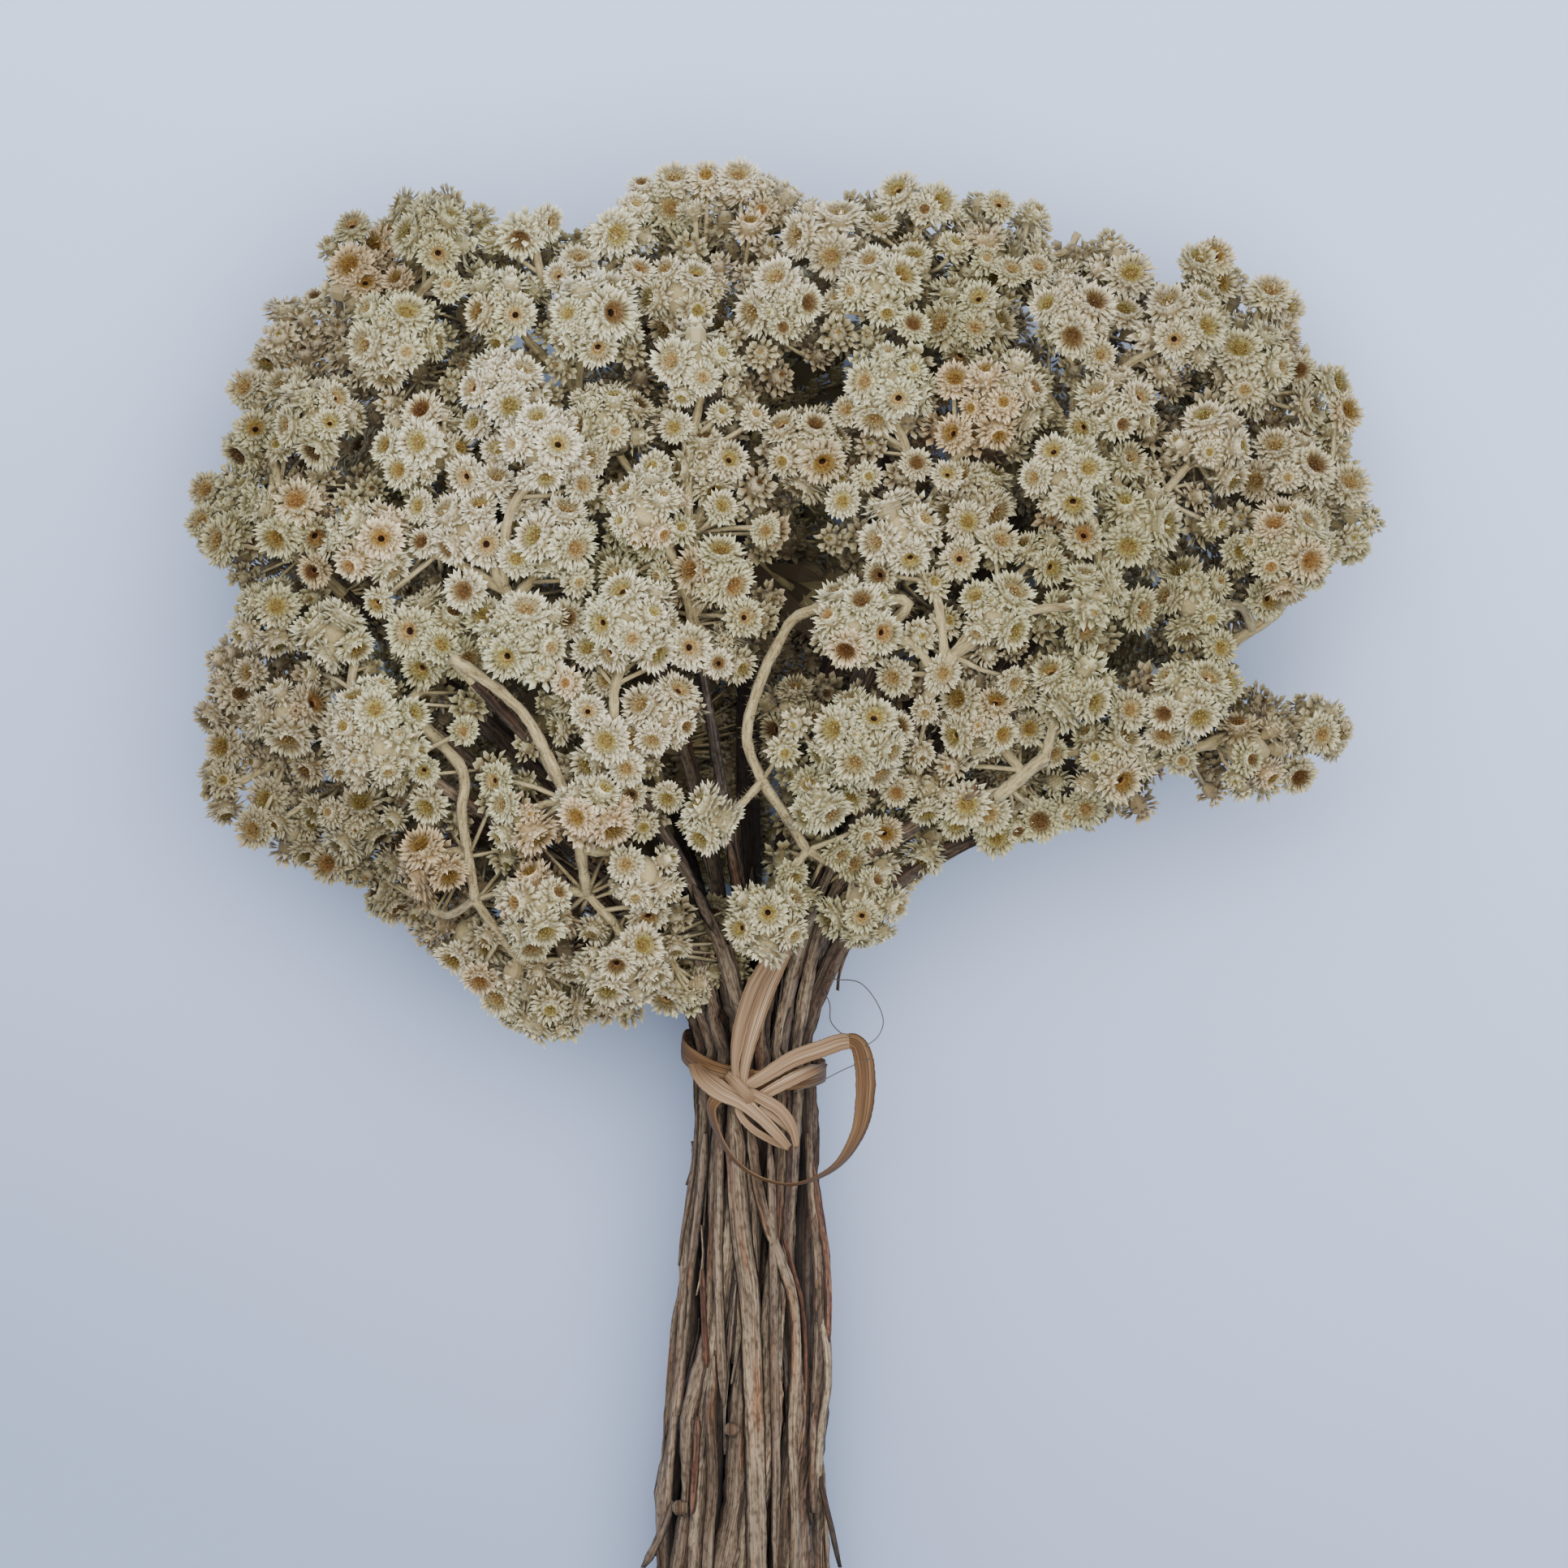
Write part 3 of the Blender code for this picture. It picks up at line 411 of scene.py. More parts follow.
    def twigs(self):
        """Every straight stretch of branch and of the stalks that don't hang: start, span and spray."""
        lines = [(i, path) for i, path in enumerate(self.stalks) if self.names[i] not in HANGING_STALKS]
        return stretches(lines + list(zip(self.owner, self.branches)))

    def push_stems(self):
        """Moves the tips of stems whose stalks or branches come too near another spray's."""
        starts, spans, radii, owners = self.segments()
        between = nearest_between(starts, spans, starts, spans)
        distance = np.linalg.norm(between, axis=2) + TINY
        short = np.maximum(radii[:, None] + radii[None] + 2.0 * GAP - distance, 0.0)
        short[owners[:, None] == owners[None]] = 0.0
        in_fan = starts[:, 1] > FAN_START
        short[~in_fan] = 0.0
        for i in range(len(self.names)):
            mine = np.flatnonzero(owners == i)
            row, column = np.unravel_index(short[mine].argmax(), short[mine].shape)
            push = short[mine[row], column] * PUSH_SHARE / distance[mine[row], column]
            self.shift[i] += between[mine[row], column] * push
            self.shift[i] *= min(1.0, MOST_SHIFT / (np.linalg.norm(self.shift[i]) + TINY))

    def push_clumps(self, step):
        """One step of pushing clumps off one another, off other sprays' stems and off the surface."""
        move = np.zeros_like(self.place)
        between = self.place[:, None] - self.place[None]
        apart = np.linalg.norm(between, axis=2) + TINY
        same = self.owner[:, None] == self.owner[None]
        need = (self.radius[:, None] + self.radius[None]) * np.where(same, SAME_SPRAY_NEARNESS, 1.0)
        need += np.where(same, 0.0, GAP)
        short = np.maximum(need - apart, 0.0)
        np.fill_diagonal(short, 0.0)
        move += (between / apart[..., None] * short[..., None]).sum(axis=1) * PUSH_SHARE
        starts, spans, radii, owners = self.segments()
        along = self.place[:, None] - starts[None]
        part = (along * spans).sum(axis=2) / (spans * spans).sum(axis=1)
        off = along - spans * np.clip(part, 0.0, 1.0)[..., None]
        distance = np.linalg.norm(off, axis=2) + TINY
        short = np.maximum(self.radius[:, None] + radii[None] + GAP - distance, 0.0)
        woody = np.arange(len(owners)) >= len(owners) - sum(len(path) - 1 for path in self.stems)
        short[(self.owner[:, None] == owners[None]) & ~woody] = 0.0
        worst = short.argmax(axis=1)
        rows = np.arange(len(worst))
        move += off[rows, worst] / distance[rows, worst, None] * short[rows, worst, None]
        pull = max(0.0, 1.0 - step / (PULL_UNTIL * SETTLE_STEPS)) * PULL_BACK
        self.place += move * STEP_SHARE + (self.target - self.place) * pull
        self.place[:, 2] = np.maximum(self.place[:, 2], self.radius - PRESSED)


def stem_radius(y):
    """A stem's radius: thick at the cut end and slim past the tie."""
    if y > 0.0:
        return np.interp(y, (0.0, STEM_TAPER), (STEM_RADIUS, STEM_TIP_RADIUS))
    return STEM_RADIUS * np.interp(y, BUNDLE_Y, BUNDLE_RADIUS) / np.interp(0.0, BUNDLE_Y, BUNDLE_RADIUS)


# Flower heads: counts of bracts in each row, with where the row starts on a head of radius 1,
# how far its bracts lean from the head's axis in degrees, their length and their width
OPEN_ROWS = (
    (10, 0.48, -0.30, 112, 0.44, 0.26),
    (20, 0.53, -0.12, 95, 0.49, 0.25),
    (22, 0.54, 0.03, 77, 0.50, 0.23),
    (22, 0.51, 0.15, 54, 0.48, 0.20),
    (20, 0.46, 0.23, 32, 0.36, 0.17),
)
HALF_ROWS = (
    (12, 0.48, -0.30, 106, 0.44, 0.28),
    (18, 0.50, -0.10, 82, 0.50, 0.22),
    (18, 0.44, 0.08, 58, 0.48, 0.20),
    (14, 0.34, 0.20, 34, 0.38, 0.18),
)
CLOSED_ROWS = (
    (12, 0.42, -0.28, 84, 0.50, 0.28),
    (12, 0.40, -0.04, 56, 0.52, 0.26),
    (10, 0.28, 0.16, 30, 0.48, 0.24),
    (6, 0.14, 0.30, 8, 0.36, 0.22),
)
PLAIN_ROWS = (
    (9, 0.50, -0.28, 112, 0.44, 0.38),
    (11, 0.54, -0.02, 80, 0.48, 0.34),
    (9, 0.40, 0.20, 46, 0.46, 0.32),
    (5, 0.14, 0.30, 14, 0.36, 0.28),
)

# A bract against its head's radius: where its foot and widest place are, how deep it is cupped, how
# far it curls and skews, how much bracts differ, the share that has dropped off, and how far along
# it each of its corners counts for its colour
BRACT_FOOT = 0.74
BRACT_WIDEST = 0.55
BRACT_CUP = 0.10
BRACT_CURL = 0.16
BRACT_CURLS = (-0.3, 1.3)
BRACT_SKEW = 0.03
BRACT_UNEVEN = 0.24
BRACT_LEAN = 42 * BRACT_UNEVEN
BRACT_TURN = 0.3
BRACT_MISSING = 0.06
BRACT_SHADE = (0.0, 0.70, 0.70, 1.0)
SPIKE_FACES = np.array([(0, 1, 2), (3, 2, 1), (0, 3, 1), (0, 2, 3)])

# A head's core from its stalk end up over the rim and down into its dish: radius and height
OPEN_CORE = ((0.16, -0.80), (0.52, -0.36), (0.60, 0.05), (0.48, 0.26), (0.22, 0.10))
OPEN_HOLE = ((0.17, 0.09), (0.12, -0.20))
HALF_CORE = ((0.15, -0.80), (0.48, -0.36), (0.52, 0.04), (0.34, 0.32), (0.20, 0.26))
CLOSED_CORE = ((0.15, -0.75), (0.44, -0.30), (0.42, 0.10), (0.20, 0.36))
CORE_SIDES = 8

# How dark a dish may get towards its middle, where it has no hole, and how dark the outside is
DISH_DARKEST = 0.44
CORE_TONE = 0.5

# Florets: how many, the angle between them, how far out in the dish they stand, how deep their
# feet are, how tall they are and how thick, and the tones of their points
FLORETS = 8
FLORET_TURN = 2.4
FLORET_SPREAD = 0.72
FLORET_SINK = 0.16
FLORET_HEIGHT = (0.14, 0.24)
FLORET_RADIUS = 0.055
FLORET_TONES = (0.5, 0.7, 0.7, 0.7, 0.9)
FLORET_FACES = np.array([(0, 2, 1), (0, 3, 2), (0, 1, 3), (4, 1, 2), (4, 2, 3), (4, 3, 1)])

# Kinds of heads that are made, and how often places in view, places behind and buds take each
ROWS = {"half": HALF_ROWS, "closed": CLOSED_ROWS, "plain": PLAIN_ROWS}
CORES = {"half": HALF_CORE, "closed": CLOSED_CORE, "plain": CLOSED_CORE}
HEAD_KINDS = (
    "open", "open", "open", "hole", "hole", "half", "half", "half", "closed", "closed", "plain", "plain",
)
FRONT_SHARES = (0.16, 0.16, 0.16, 0.09, 0.09, 0.09, 0.09, 0.08, 0.04, 0.04, 0, 0)
BACK_SHARES = (0.04, 0, 0, 0, 0, 0, 0, 0, 0, 0, 0.48, 0.48)
BUD_SHARES = (0, 0, 0, 0, 0, 0, 0, 0, 0.5, 0.5, 0, 0)

# Heads on a clump: how far apart and how near they stand, how deep they sink, how far round its back
# they go and how uneven their shell is
HEAD_SPACING = 1.60
HEAD_NEARNESS = 0.78
HEAD_SINK = 0.80
HEAD_REACH = -0.30
FEWEST_HEADS = 4
PACKING = 0.87
SHELL_UNEVEN = (-0.12, 0.06)
SPREAD_STEPS = 40
SPREAD_SHARE = 0.35
BURIED = 0.45
FLOOR_CLEAR = 0.8

# Pedicels: where they leave a clump's stalk, how far heads lean with the clump, how steeply a
# pedicel leaves a twig, and its radius and bend
PEDICEL_ROOT = 0.55
PEDICEL_LEAN = 0.35
PEDICEL_SLANT = 0.7
PEDICEL_RADIUS = 0.42
PEDICEL_BEND = 0.3
NECK = 0.62

# How a head differs from its shape: tilt, from where on it counts as turned away, size of half-closed
# ones, squash in each direction, and the spread of sizes between the clumps
HEAD_TILT = 0.18
TURNED_AWAY = -0.1
HALF_SIZE = 0.90
HEAD_SQUASH = ((0.88, 1.06), (0.94, 1.1), (0.85, 1.15))
SIZE_SPREAD = (-1.0, 0.6)

# Buds in the gaps of a clump: how many places are tried and their sizes against a head's
BUD_TRIES = 70
BUD_SIZE = (0.50, 0.74)
BUD_NEARNESS = 0.66
BUD_INSET = 0.5
BUD_OVERLAP = 1.0

# What the grids over the crown span, across it and along it
ACROSS = (-94.0, 101.0)
ALONG = (8.0, 150.0)

# Layers of heads that fill the crown between its clumps: upper or lower side, and depths under it
FILL_LAYERS = ((True, 4.5, 8.0), (True, 10.0, 14.0), (True, 18.0, 24.0), (False, 6.0, 10.0))
FILL_STEP = 3.4
FILL_SIZE = 0.92
FILL_NEARNESS = 0.74
FILL_REACH = 13.0
FILL_THICKNESS = 4.0
DEEP = 9.0
STALK_CLEAR = 1.2

# Heads that close the last gaps: grid, sizes, thickness of the crown there, how far a pedicel may
# reach, the shares of a head's size and of a clump that cover a place, and the heads' tone
CLOSE_STEP = 2.0
CLOSE_SIZE = (0.8, 1.0)
CLOSE_THICKNESS = 10.0
CLOSE_REACH = 22.0
COVER = 0.66
CORE_COVER = 1.6
CLOSE_TONE = 0.2
MOST_HEADS = 6000

# Withered leaves low in the crown, painted dark as the shade between heads: step of the places tried,
# cover by heads, how far out in the crown they reach, its least thickness there, how high they lie in
# it, distance from the twig, how far the tip is looked ahead, half widths in the middle, how far they
# run on and droop, half widths at the ends, how far they bulge up and down, and their shade, whose
# last number paints them dark
LEAF_STEP = 2.5
LEAF_COVER = 0.62
LEAF_RIM = 0.90
LEAF_THICKNESS = 12.0
LEAF_LEVEL = (0.15, 0.4)
LEAF_REACH = (2.0, 16.0)
LEAF_AHEAD = 6.0
LEAF_APART = 1.3 * LEAF_STEP
LEAF_WIDTH = (1.4, 2.1)
LEAF_TIP = (3.5, 6.5)
LEAF_DROOP = 1.5
LEAF_ENDS = (0.4, 0.3)
LEAF_RISE = (0.3, 0.1)
LEAF_SHADE = (0.34, 0.4, 0.24)

# Painted shade: how bright bracts are at depths under the crown's surface, darker deeper in where shade
# falls
SHADE_DEPTHS = (4.0, 13.0, 24.0)
DEPTH_LIGHT = (1.0, 0.68, 0.36)

# Clefts between the clumps, which no layer on the upper side fills
OPEN_CLEFTS = (
    ((-25, 59), (-13, 67), (-4, 66), (-1, 52), (0, 36), (-1, 16), (-12, 16), (-12.5, 30), (-11, 44),
        (-17, 53)),
    ((2, 78), (9, 78), (11, 96), (7, 118), (3, 118), (4, 96)),
)

# Bite out of the crown's right side, which no head fills
NOTCH = (
    (101, 86), (95, 84.5), (86, 80.5), (77, 76.5), (75, 73),
    (75, 66), (77.5, 63.2), (84, 61.5), (95, 60.5), (101, 60.5),
)

# Heads that stand out from the crown's rim, as x and y, with a height where they hang over stems
RIM_REACH = 20.0
RIM_LIFT = (-4.0, 8.0)
RIM_LEAN = (0.3, 1.4)
RIM_HEADS = (
    (-69.9, 135.4), (-66.3, 138.5), (-62.7, 135.2), (-66.3, 132), (-71.0, 130.7), (-60.5, 138),
    (-80.9, 124.2), (-76.7, 125.8), (-72.2, 126.8),
    (-89.4, 100.8), (-90.1, 96.2), (-90.6, 91), (-87.4, 87.8), (-86.5, 93.6), (-85.2, 102.7),
    (-88.1, 68.9), (-88.9, 64.4), (-88.7, 59.2), (-87.1, 54.6), (-80, 46.2),
    (-78.3, 42.3), (-76.7, 38.4), (-82, 41.4), (-69.8, 35.8),
    (-52, 23.7), (-48.8, 20.4), (-45.5, 17.2), (-42.6, 14.3), (-39, 12.4), (-34.8, 11.1), (-29.9, 11.4),
    (33.8, 141.4), (38, 141.7), (41.9, 139.8), (45.8, 137.5), (69.9, 132.9), (72.8, 133.6),
    (81.6, 127.7), (84.5, 125.8), (92.3, 113.1), (93.9, 108.6),
    (93.4, 61.1), (93, 56.8), (91.2, 52.6), (86.5, 50), (81.3, 48.4), (78, 48.1),
    (-19.5, 145), (-14.3, 145.9), (-9.1, 146.4), (-3.9, 146.3), (1.3, 145.1), (5.9, 143),
    (30.9, 42.6, 52), (33.8, 40.3, 50), (37.4, 40.3, 48), (40.6, 41.6, 48), (44.5, 42.9, 48),
    (48.4, 43.9, 48), (51.7, 44.7, 48), (32.5, 45.5, 56), (36.1, 43.9, 54),
    (-83.6, 112.6), (94.6, 97), (44, 140.6), (-40.4, 10.8), (-25.4, 11.6),
    (-21.5, 51, 71), (-24.5, 55.5, 75), (-27.5, 60, 76), (-30.8, 64.5, 75), (-34.5, 66.5, 74),
)

# Dents in the crown's rim, whose heads are pushed in: x, y and how far round it
DENTS = (
    (-83.8, 121.3, 5.5), (-87.9, 106.9, 5.5), (-91.5, 101.6, 4.5), (-88, 77.5, 6), (-93, 63.7, 5.5),
    (-94, 48, 5.5), (-54.9, 146.6, 5.5), (-41, 142.6, 5.5), (-33.8, 143.9, 5), (-26.5, 142, 6),
    (9.5, 146, 5), (18.5, 147.6, 5), (26, 147.3, 5.5), (50.5, 138.9, 6), (64, 134.2, 5.5),
    (91, 119, 5.5), (98.4, 103.8, 6.5), (101, 86.4, 5), (66.5, 46.7, 5), (31.9, 34.9, 6),
)
DENT_STEP = 0.5
PUSHED_NEARNESS = 0.5

# Heads whose bracts have turned pink: x, y and how far round it
ROSY_PLACES = ((-35, 43, 6), (-25, 41, 6), (-53, 36, 6), (33, 107, 7), (-62, 132, 5))

# Share of the light that the rim of the crown loses, and its left end more, with where they begin
RIM = ((0.7, 1.0), (0.0, 1.0))
RIM_SHADE = 0.04
LEFT_SHADE = 0.30
LEFT_END = -50.0

# Share of a head's light that its bracts keep in common
EVEN_LIGHT = 0.88

# The crown's brightest place, and how much light is lost at distances from it
BRIGHTEST = (-45.0, 112.0)
FADE = ((10.0, 110.0), (0.0, 0.22))

# Stalks, finer than the solids: share of the radius, how far they sink into the stem, step along
# them, how much thinner their ends are, how uneven they are, and which way is their side
STALK_SLIM = 0.90
HANGING_SLIM = 0.76
STALK_SINK = 2.5
STALK_STEP = 1.2
STALK_NARROW = 0.85
BRANCH_NARROW = 0.75
STALK_UNEVEN = 0.05
STALK_RIDGES = 0.08
STALK_SIDE = np.array([0.3, 0.2, 1.0])

# Rough ball behind a clump's heads: how far it stays under them, its heights, sides and roughness,
# its least radius, and how far the finish's pattern is shifted on balls and on stalks
CORE_INSET = 1.35
BALL_LEVELS = np.linspace(-0.9, 0.9, 6)
BALL_SIDES = 9
BALL_UNEVEN = 0.14
LEAST_CORE = 1.0
BALL_SHADE = (3.0, 3.0)
BALL_SHIFTS = (0.0, 50.0)
STALK_SHIFTS = (0.0, 200.0)

# Wool on the hanging stalks: hairs for each millimetre, length, radius, disorder and shade
HAIRS = 9.0
HAIR_LENGTH = (0.5, 1.6)
HAIR_RADIUS = 0.06
HAIR_DISORDER = 0.8
HAIR_TURNS = (0.0, 2.1, 4.2)
HAIR_SHADE = (0.6, 0.6, 3.0)

# Heights between which whatever would be under the surface is pressed flat
FLAT_BELOW = 0.25
FLAT_AT = 0.05
FLAT_DEPTH = 0.2

# Finishes of a corymb's mesh, in the order of its material slots
BRACT, DISC, WOOL = 0, 1, 2

# Which heads a place may take: those in full view, those behind them, and buds
FRONT, BACK, BUD = 0, 1, 2
KIND_SHARES = (FRONT_SHARES, BACK_SHARES, BUD_SHARES)


def unit_rows(vectors):
    """Each row with a length of 1."""
    return vectors / (np.linalg.norm(vectors, axis=-1, keepdims=True) + TINY)


def smooth_path(points, step):
    """Points about one step apart on a smooth curve through the given points."""
    points = np.asarray(points, float)
    padded = np.vstack([2 * points[0] - points[1], points, 2 * points[-1] - points[-2]])
    path = []
    for before, start, end, after in zip(padded, padded[1:], padded[2:], padded[3:]):
        count = max(1, round(np.linalg.norm(end - start) / step))
        t = (np.arange(count) / count)[:, None]
        path.append(
            start
            + 0.5 * t * (end - before)
            + t**2 * (before - 2.5 * start + 2 * end - 0.5 * after)
            + t**3 * (1.5 * (start - end) + 0.5 * (after - before))
        )
    return np.vstack([*path, points[-1:]])


def carried_frames(path, side):
    """Two directions across a path at each of its points, turned as little as its bends allow."""
    along = unit_rows(np.gradient(path, axis=0))
    sides = []
    for direction in along:
        side = side - direction * (side @ direction)
        side = side / np.linalg.norm(side)
        sides.append(side)
    sides = np.array(sides)
    return sides, np.cross(along, sides)


def distances(path):
    """Distance along a path at each of its points."""
    return np.concatenate([[0.0], np.cumsum(np.linalg.norm(np.diff(path, axis=0), axis=1))])


def lofted(rings):
    """Points and triangles of a closed bar through rings of points."""
    count, around = rings.shape[:2]
    index = np.arange(count * around).reshape(count, around)
    a, c = index[:-1], index[1:]
    b, d = np.roll(a, -1, axis=1), np.roll(c, -1, axis=1)
    first, last = index[0], index[-1]
    ends = np.full(around, count * around)
    faces = [np.stack([a, b, d], axis=-1), np.stack([a, d, c], axis=-1)]
    faces += [np.stack([np.roll(first, -1), first, ends], axis=-1)]
    faces += [np.stack([last, np.roll(last, -1), ends + 1], axis=-1)]
    faces = np.concatenate([face.reshape(-1, 3) for face in faces])
    points = np.concatenate([rings.reshape(-1, 3), rings[:1].mean(axis=1), rings[-1:].mean(axis=1)])
    return points, faces


def lofted_shade(x, y, run, end_y=0.0):
    """Shading vectors of a lofted bar: two numbers across it and the distance along it."""
    shade = np.stack(np.broadcast_arrays(x, y, run[:, None]), axis=-1).reshape(-1, 3)
    return np.vstack([shade, (0.0, end_y, run[0]), (0.0, end_y, run[-1])])


def bar(path, radii, side, sides=8, ridges=0.0):
    """Round bar along a path, with ridges as a share of its radius at each point of each ring.

    Its shading vector is the place across the bar and the distance along it, in millimetres.
    """
    across, up = carried_frames(path, side)
    angle = np.arange(sides) * math.tau / sides
    radius = np.asarray(radii, float)[:, None] * np.ones(sides) * (1.0 + ridges)
    x, y = radius * np.cos(angle), radius * np.sin(angle)
    rings = path[:, None] + across[:, None] * x[..., None] + up[:, None] * y[..., None]
    return *lofted(rings), lofted_shade(x, y, distances(path))


def add_object(name, data):
    """Puts new data into the scene as an object."""
    obj = bpy.data.objects.new(name, data)
    bpy.context.scene.collection.objects.link(obj)
    return obj


class Parts:
    """Triangles of many parts that make one mesh, with a shading vector for each point."""

    def __init__(self):
        self.points, self.faces, self.shade, self.finish = [], [], [], []
        self.count = 0

    def joined(self):
        """Points, faces, shading vectors and finishes of all parts so far."""
        return [np.concatenate(items) for items in (self.points, self.faces, self.shade, self.finish)]

    def add(self, points, faces, shade, finish=0):
        """Adds one part. Its finish is the number of a material slot, for all faces or for each."""
        self.points.append(points)
        self.faces.append(faces + self.count)
        self.shade.append(np.broadcast_to(shade, points.shape))
        self.finish.append(np.broadcast_to(finish, len(faces)))
        self.count += len(points)

    def make(self, name, nodes, finishes, flat=()):
        """Makes the mesh object, which stands for CAD nodes and takes its finish from a slot.

        Faces are smooth apart from those whose finish is listed as flat.
        """
        points, faces, shade, finish = self.joined()
        mesh = bpy.data.meshes.new(name)
        mesh.vertices.add(len(points))
        mesh.vertices.foreach_set("co", ((points + SHIFT) * MM).ravel())
        mesh.loops.add(faces.size)
        mesh.loops.foreach_set("vertex_index", faces.ravel())
        mesh.polygons.add(len(faces))
        mesh.polygons.foreach_set("loop_start", np.arange(0, faces.size, 3))
        mesh.polygons.foreach_set("material_index", finish)
        mesh.polygons.foreach_set("use_smooth", ~np.isin(finish, flat))
        mesh.attributes.new("shade", "FLOAT_VECTOR", "POINT").data.foreach_set("vector", shade.ravel())
        mesh.update(calc_edges=True)
        for material in finishes:
            mesh.materials.append(material)
        obj = add_object(name, mesh)
        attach(obj, BODY)
        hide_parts(*nodes)
        return obj


def spike_faces(points):
    """Faces of a closed body with four corners, wound so that they look outwards."""
    a, b, c, d = points
    volume = np.dot(b - a, np.cross(c - a, d - a))
    return SPIKE_FACES[:, ::-1] if volume > 0.0 else SPIKE_FACES


def bract(draw, row, angle):
    """One papery bract: keeled outside, cupped inside and widest near its tip."""
    _, radius, height, lean, length, width = row
    lean = math.radians(lean + draw.normal(0.0, BRACT_LEAN))
    length *= 1.0 + draw.uniform(-BRACT_UNEVEN, BRACT_UNEVEN)
    width *= 1.0 + draw.uniform(-BRACT_UNEVEN, BRACT_UNEVEN)
    out = np.array([math.cos(angle), math.sin(angle), 0.0])
    side = np.array([-out[1], out[0], 0.0])
    along = out * math.sin(lean) + np.array([0.0, 0.0, math.cos(lean)])
    inner = np.cross(side, along)
    foot = out * radius * BRACT_FOOT + np.array([0.0, 0.0, height])
    start = out * radius + np.array([0.0, 0.0, height])
    skew = side * draw.normal(0.0, BRACT_SKEW)
    middle = start + along * length * BRACT_WIDEST + inner * BRACT_CUP + skew
    tip = start + along * length + inner * BRACT_CURL * draw.uniform(*BRACT_CURLS)
    half = side * width / 2
    points = np.array([foot, middle - half, middle + half, tip])
    return points, spike_faces(points)


def lathe(profile, sides):
    """Closed body that turns a profile of radius and height round the head's axis."""
    angle = np.arange(sides) * math.tau / sides
    rings = [[(r * math.cos(a), r * math.sin(a), z) for a in angle] for r, z in profile]
    return lofted(np.array(rings))


class HeadShape:
    """A flower head of radius 1 that faces +Z: its core, its florets and its rows of bracts.

    Its shading is the place along a bract or across the dish, room for the head's tone, and a
    number that differs from bract to bract.
    """

    def __init__(self, kind, draw):
        self.parts = Parts()
        core = CORES.get(kind, OPEN_CORE) + (OPEN_HOLE if kind == "hole" else ())
        rim = max(range(len(core)), key=lambda i: core[i][1])
        self.add_core(core, rim, kind == "hole")
        if kind in ("open", "half"):
            self.add_florets(draw, core[rim])
        for row in ROWS.get(kind, OPEN_ROWS):
            start = draw.uniform(0.0, math.tau)
            for k in range(row[0]):
                if draw.uniform() < BRACT_MISSING:
                    continue
                angle = start + (k + draw.uniform(-BRACT_TURN, BRACT_TURN)) * math.tau / row[0]
                points, faces = bract(draw, row, angle)
                shade = np.column_stack([BRACT_SHADE, np.zeros(4), np.full(4, draw.uniform())])
                self.parts.add(points, faces, shade, BRACT)
        self.points, self.faces, self.shade, self.finish = self.parts.joined()

    def add_core(self, core, rim, hollow):
        """The core, whose dish darkens towards its middle and right down into a hole."""
        points, faces = lathe(core, CORE_SIDES)
        ring = np.minimum(np.arange(len(points)) // CORE_SIDES, len(core))
        ring[-2:] = (0, len(core))
        away = np.hypot(points[:, 0], points[:, 1])
        across = np.maximum(away / core[rim][0], 0.0 if hollow else DISH_DARKEST)
        shade = np.column_stack([np.where(ring >= rim, across, CORE_TONE), 0.0 * away, 0.0 * away])
        if hollow:
            shade[ring >= len(core) - 1, 0] = 0.0
        dish = ring[faces].min(axis=1) >= rim
        self.parts.add(points, faces, shade, np.where(dish, DISC, BRACT))

    def add_florets(self, draw, rim):
        """Small pointed florets that stand in the dish."""
        for k in range(FLORETS):
            angle = k * FLORET_TURN
            away = rim[0] * FLORET_SPREAD * math.sqrt((k + 0.5) / FLORETS)
            foot = np.array([away * math.cos(angle), away * math.sin(angle), rim[1] - FLORET_SINK])
            top = foot * (0.9, 0.9, 1.0) + (0.0, 0.0, draw.uniform(*FLORET_HEIGHT))
            turn = angle + np.arange(3) * math.tau / 3
            waist = np.column_stack([np.cos(turn), np.sin(turn), 0 * turn])
            points = np.vstack([foot, (foot + top) / 2 + FLORET_RADIUS * waist, top])
            shade = np.column_stack([FLORET_TONES, np.zeros(5), np.full(5, draw.uniform())])
            self.parts.add(points, FLORET_FACES, shade, DISC)


class Head(NamedTuple):
    """One flower head: place, size, kind and spray, its pedicel's root, where it faces and its tone."""

    place: np.ndarray
    size: float
    kind: int
    spray: int
    root: np.ndarray
    out: np.ndarray
    tone: float


